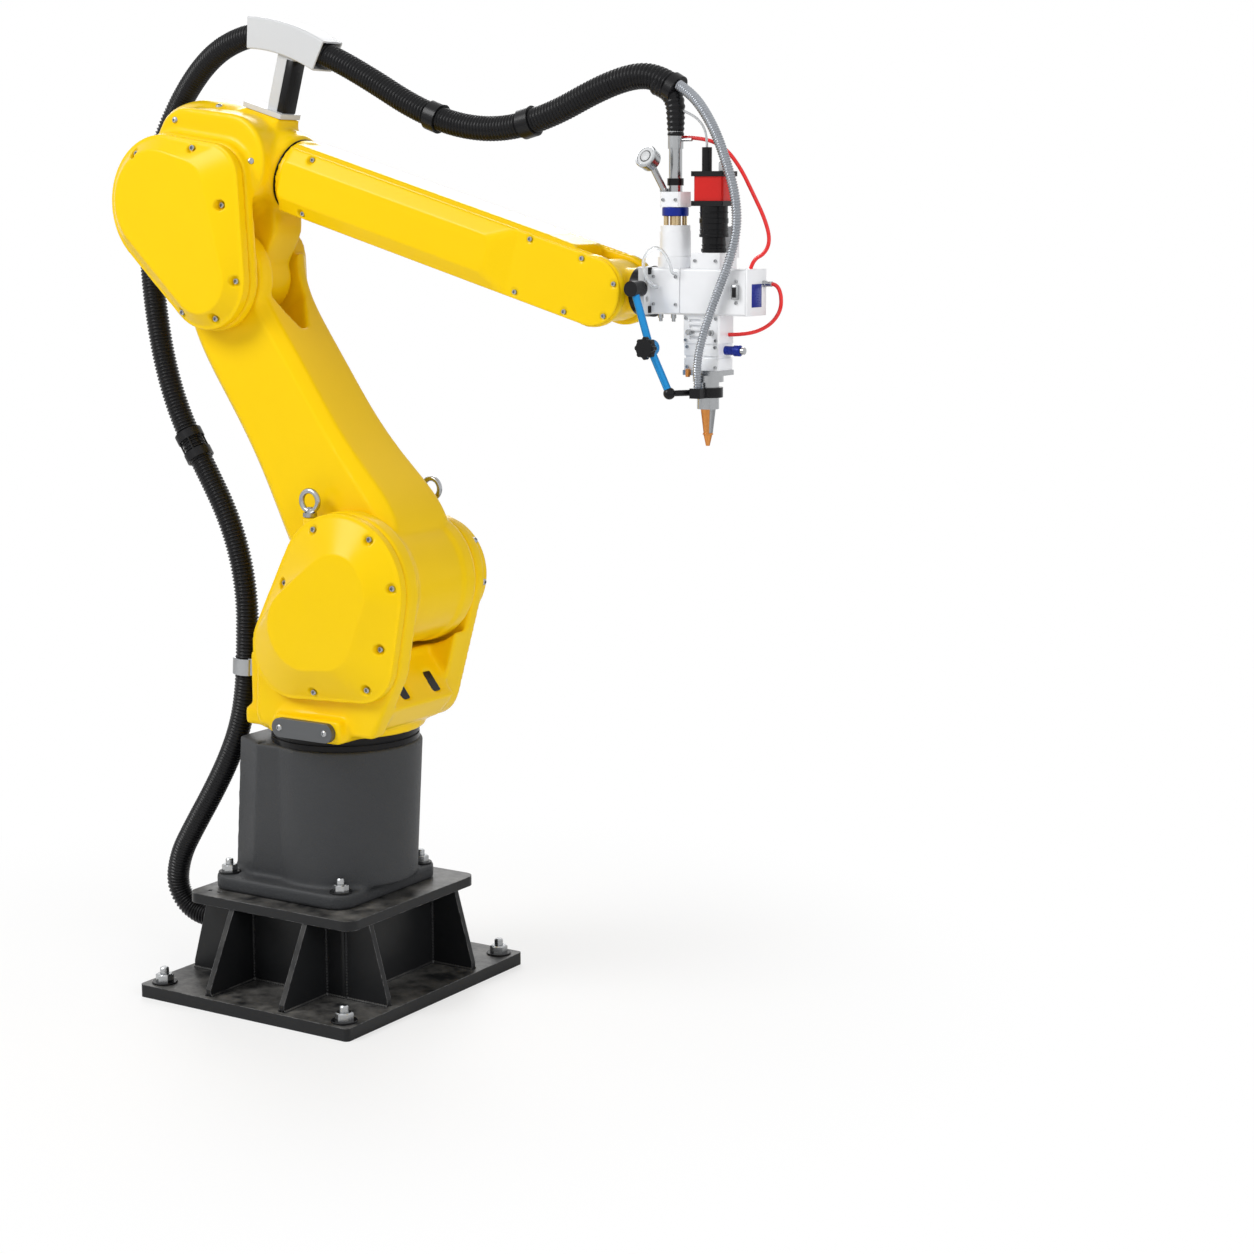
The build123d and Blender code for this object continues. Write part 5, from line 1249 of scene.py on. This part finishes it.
def floor_material(stage):
    """Pale floor that keeps shadows near the robot and fades to white away from it."""
    material = bpy.data.materials.new("pale_floor")
    material.use_nodes = True
    tree = material.node_tree
    shader = set_inputs(tree.nodes["Principled BSDF"], Roughness=0.55, Base_Color=(*stage.floor_colour, 1))
    glow = tree.nodes.new("ShaderNodeEmission")
    where = tree.nodes.new("ShaderNodeTexCoord")
    away = tree.nodes.new("ShaderNodeVectorMath")
    away.operation = "LENGTH"
    fade = add_node(tree, "ShaderNodeMapRange", From_Min=stage.fade_start, From_Max=stage.fade_end,
                    To_Min=FLOOR_WHITE)
    fade.interpolation_type = "SMOOTHSTEP"
    seen = tree.nodes.new("ShaderNodeLightPath")
    share = math_node(tree, "MULTIPLY", fade.outputs["Result"], seen.outputs["Is Camera Ray"])
    mix = tree.nodes.new("ShaderNodeMixShader")
    tree.links.new(share, mix.inputs["Fac"])
    wire(tree, (where, "Object", away, 0), (away, "Value", fade, "Value"), (shader, "BSDF", mix, 1),
         (glow, "Emission", mix, 2), (mix, "Shader", tree.nodes["Material Output"], "Surface"))
    return material


def studio_world():
    """White surroundings for the camera and for reflections, with softer light on the rest."""
    world = bpy.data.worlds.new("studio")
    bpy.context.scene.world = world
    world.use_nodes = True
    tree = world.node_tree
    ground = set_inputs(tree.nodes["Background"], Color=(1, 1, 1, 1))
    seen = tree.nodes.new("ShaderNodeLightPath")
    shown = math_node(tree, "MAXIMUM", seen.outputs["Is Camera Ray"], seen.outputs["Is Transmission Ray"])
    direct = math_node(tree, "MAXIMUM", shown, seen.outputs["Is Glossy Ray"])
    level = add_node(tree, "ShaderNodeMapRange", To_Min=SOFT_LIGHT, To_Max=1.0)
    tree.links.new(direct, level.inputs["Value"])
    wire(tree, (level, "Result", ground, "Strength"))


def area_lamp(name, place, size, power, glossy):
    """Square lamp that faces the robot."""
    lamp = bpy.data.lights.new(name, "AREA")
    lamp.size = size
    lamp.energy = power
    thing = new_object(name, lamp)
    thing.matrix_world = facing(place, Vector(place) - LAMP_TARGET)
    thing.visible_glossy = glossy


class ROBOT_OT_stage(bpy.types.Operator):
    """Sets the floor, the soft lamps and the camera"""
    bl_idname = "robot.stage"
    bl_label = "Stage"

    def execute(self, context):
        stage = context.scene.robot_stage
        half = stage.floor_half
        mesh = bpy.data.meshes.new("floor")
        outline = [(-half, -half, 0), (half, -half, 0), (half, half, 0), (-half, half, 0)]
        mesh.from_pydata(outline, [], [(0, 1, 2, 3)])
        floor_plane = new_object("floor", mesh)
        floor_plane.data.materials.append(floor_material(stage))
        studio_world()
        for lamp in LAMPS:
            area_lamp(*lamp)
        camera = bpy.data.cameras.new("camera")
        camera.sensor_width = 36
        camera.lens = stage.camera_lens
        eye = new_object("camera", camera)
        turn, height = stage.camera_turn, stage.camera_height
        back = Vector((sin(turn) * cos(height), -cos(turn) * cos(height), sin(height)))
        right = Vector((cos(turn), sin(turn), 0))
        up = back.cross(right)
        axes = Matrix((right, up, back)).transposed().to_4x4()
        eye.matrix_world = Matrix.Translation(stage.camera_place) @ axes
        context.scene.camera = eye
        context.scene.view_settings.view_transform = "Standard"
        return {"FINISHED"}


OPERATORS = (ROBOT_OT_paint, ROBOT_OT_castings, ROBOT_OT_screws, ROBOT_OT_bolts, ROBOT_OT_conduit,
             ROBOT_OT_hoses, ROBOT_OT_head, ROBOT_OT_fittings, ROBOT_OT_welds, ROBOT_OT_stage)


class ROBOT_PT_panel(bpy.types.Panel):
    """Lists the steps that dress the robot"""
    bl_idname = "ROBOT_PT_panel"
    bl_label = "Welding robot"
    bl_space_type = "VIEW_3D"
    bl_region_type = "UI"
    bl_category = "Robot"

    def draw(self, context):
        for operator in OPERATORS:
            self.layout.operator(operator.bl_idname)


CLASSES = (RobotPaints, RobotSizes, StageSizes, *OPERATORS, ROBOT_PT_panel)


def register():
    for kind in CLASSES:
        bpy.utils.register_class(kind)
    bpy.types.Scene.robot_paints = PointerProperty(type=RobotPaints)
    bpy.types.Scene.robot_sizes = PointerProperty(type=RobotSizes)
    bpy.types.Scene.robot_stage = PointerProperty(type=StageSizes)


def unregister():
    del bpy.types.Scene.robot_paints
    del bpy.types.Scene.robot_sizes
    del bpy.types.Scene.robot_stage
    for kind in reversed(CLASSES):
        bpy.utils.unregister_class(kind)


def main():
    register()
    for operator in OPERATORS:
        group, name = operator.bl_idname.split(".")
        getattr(getattr(bpy.ops, group), name)()


if __name__ == "__main__":
    main()
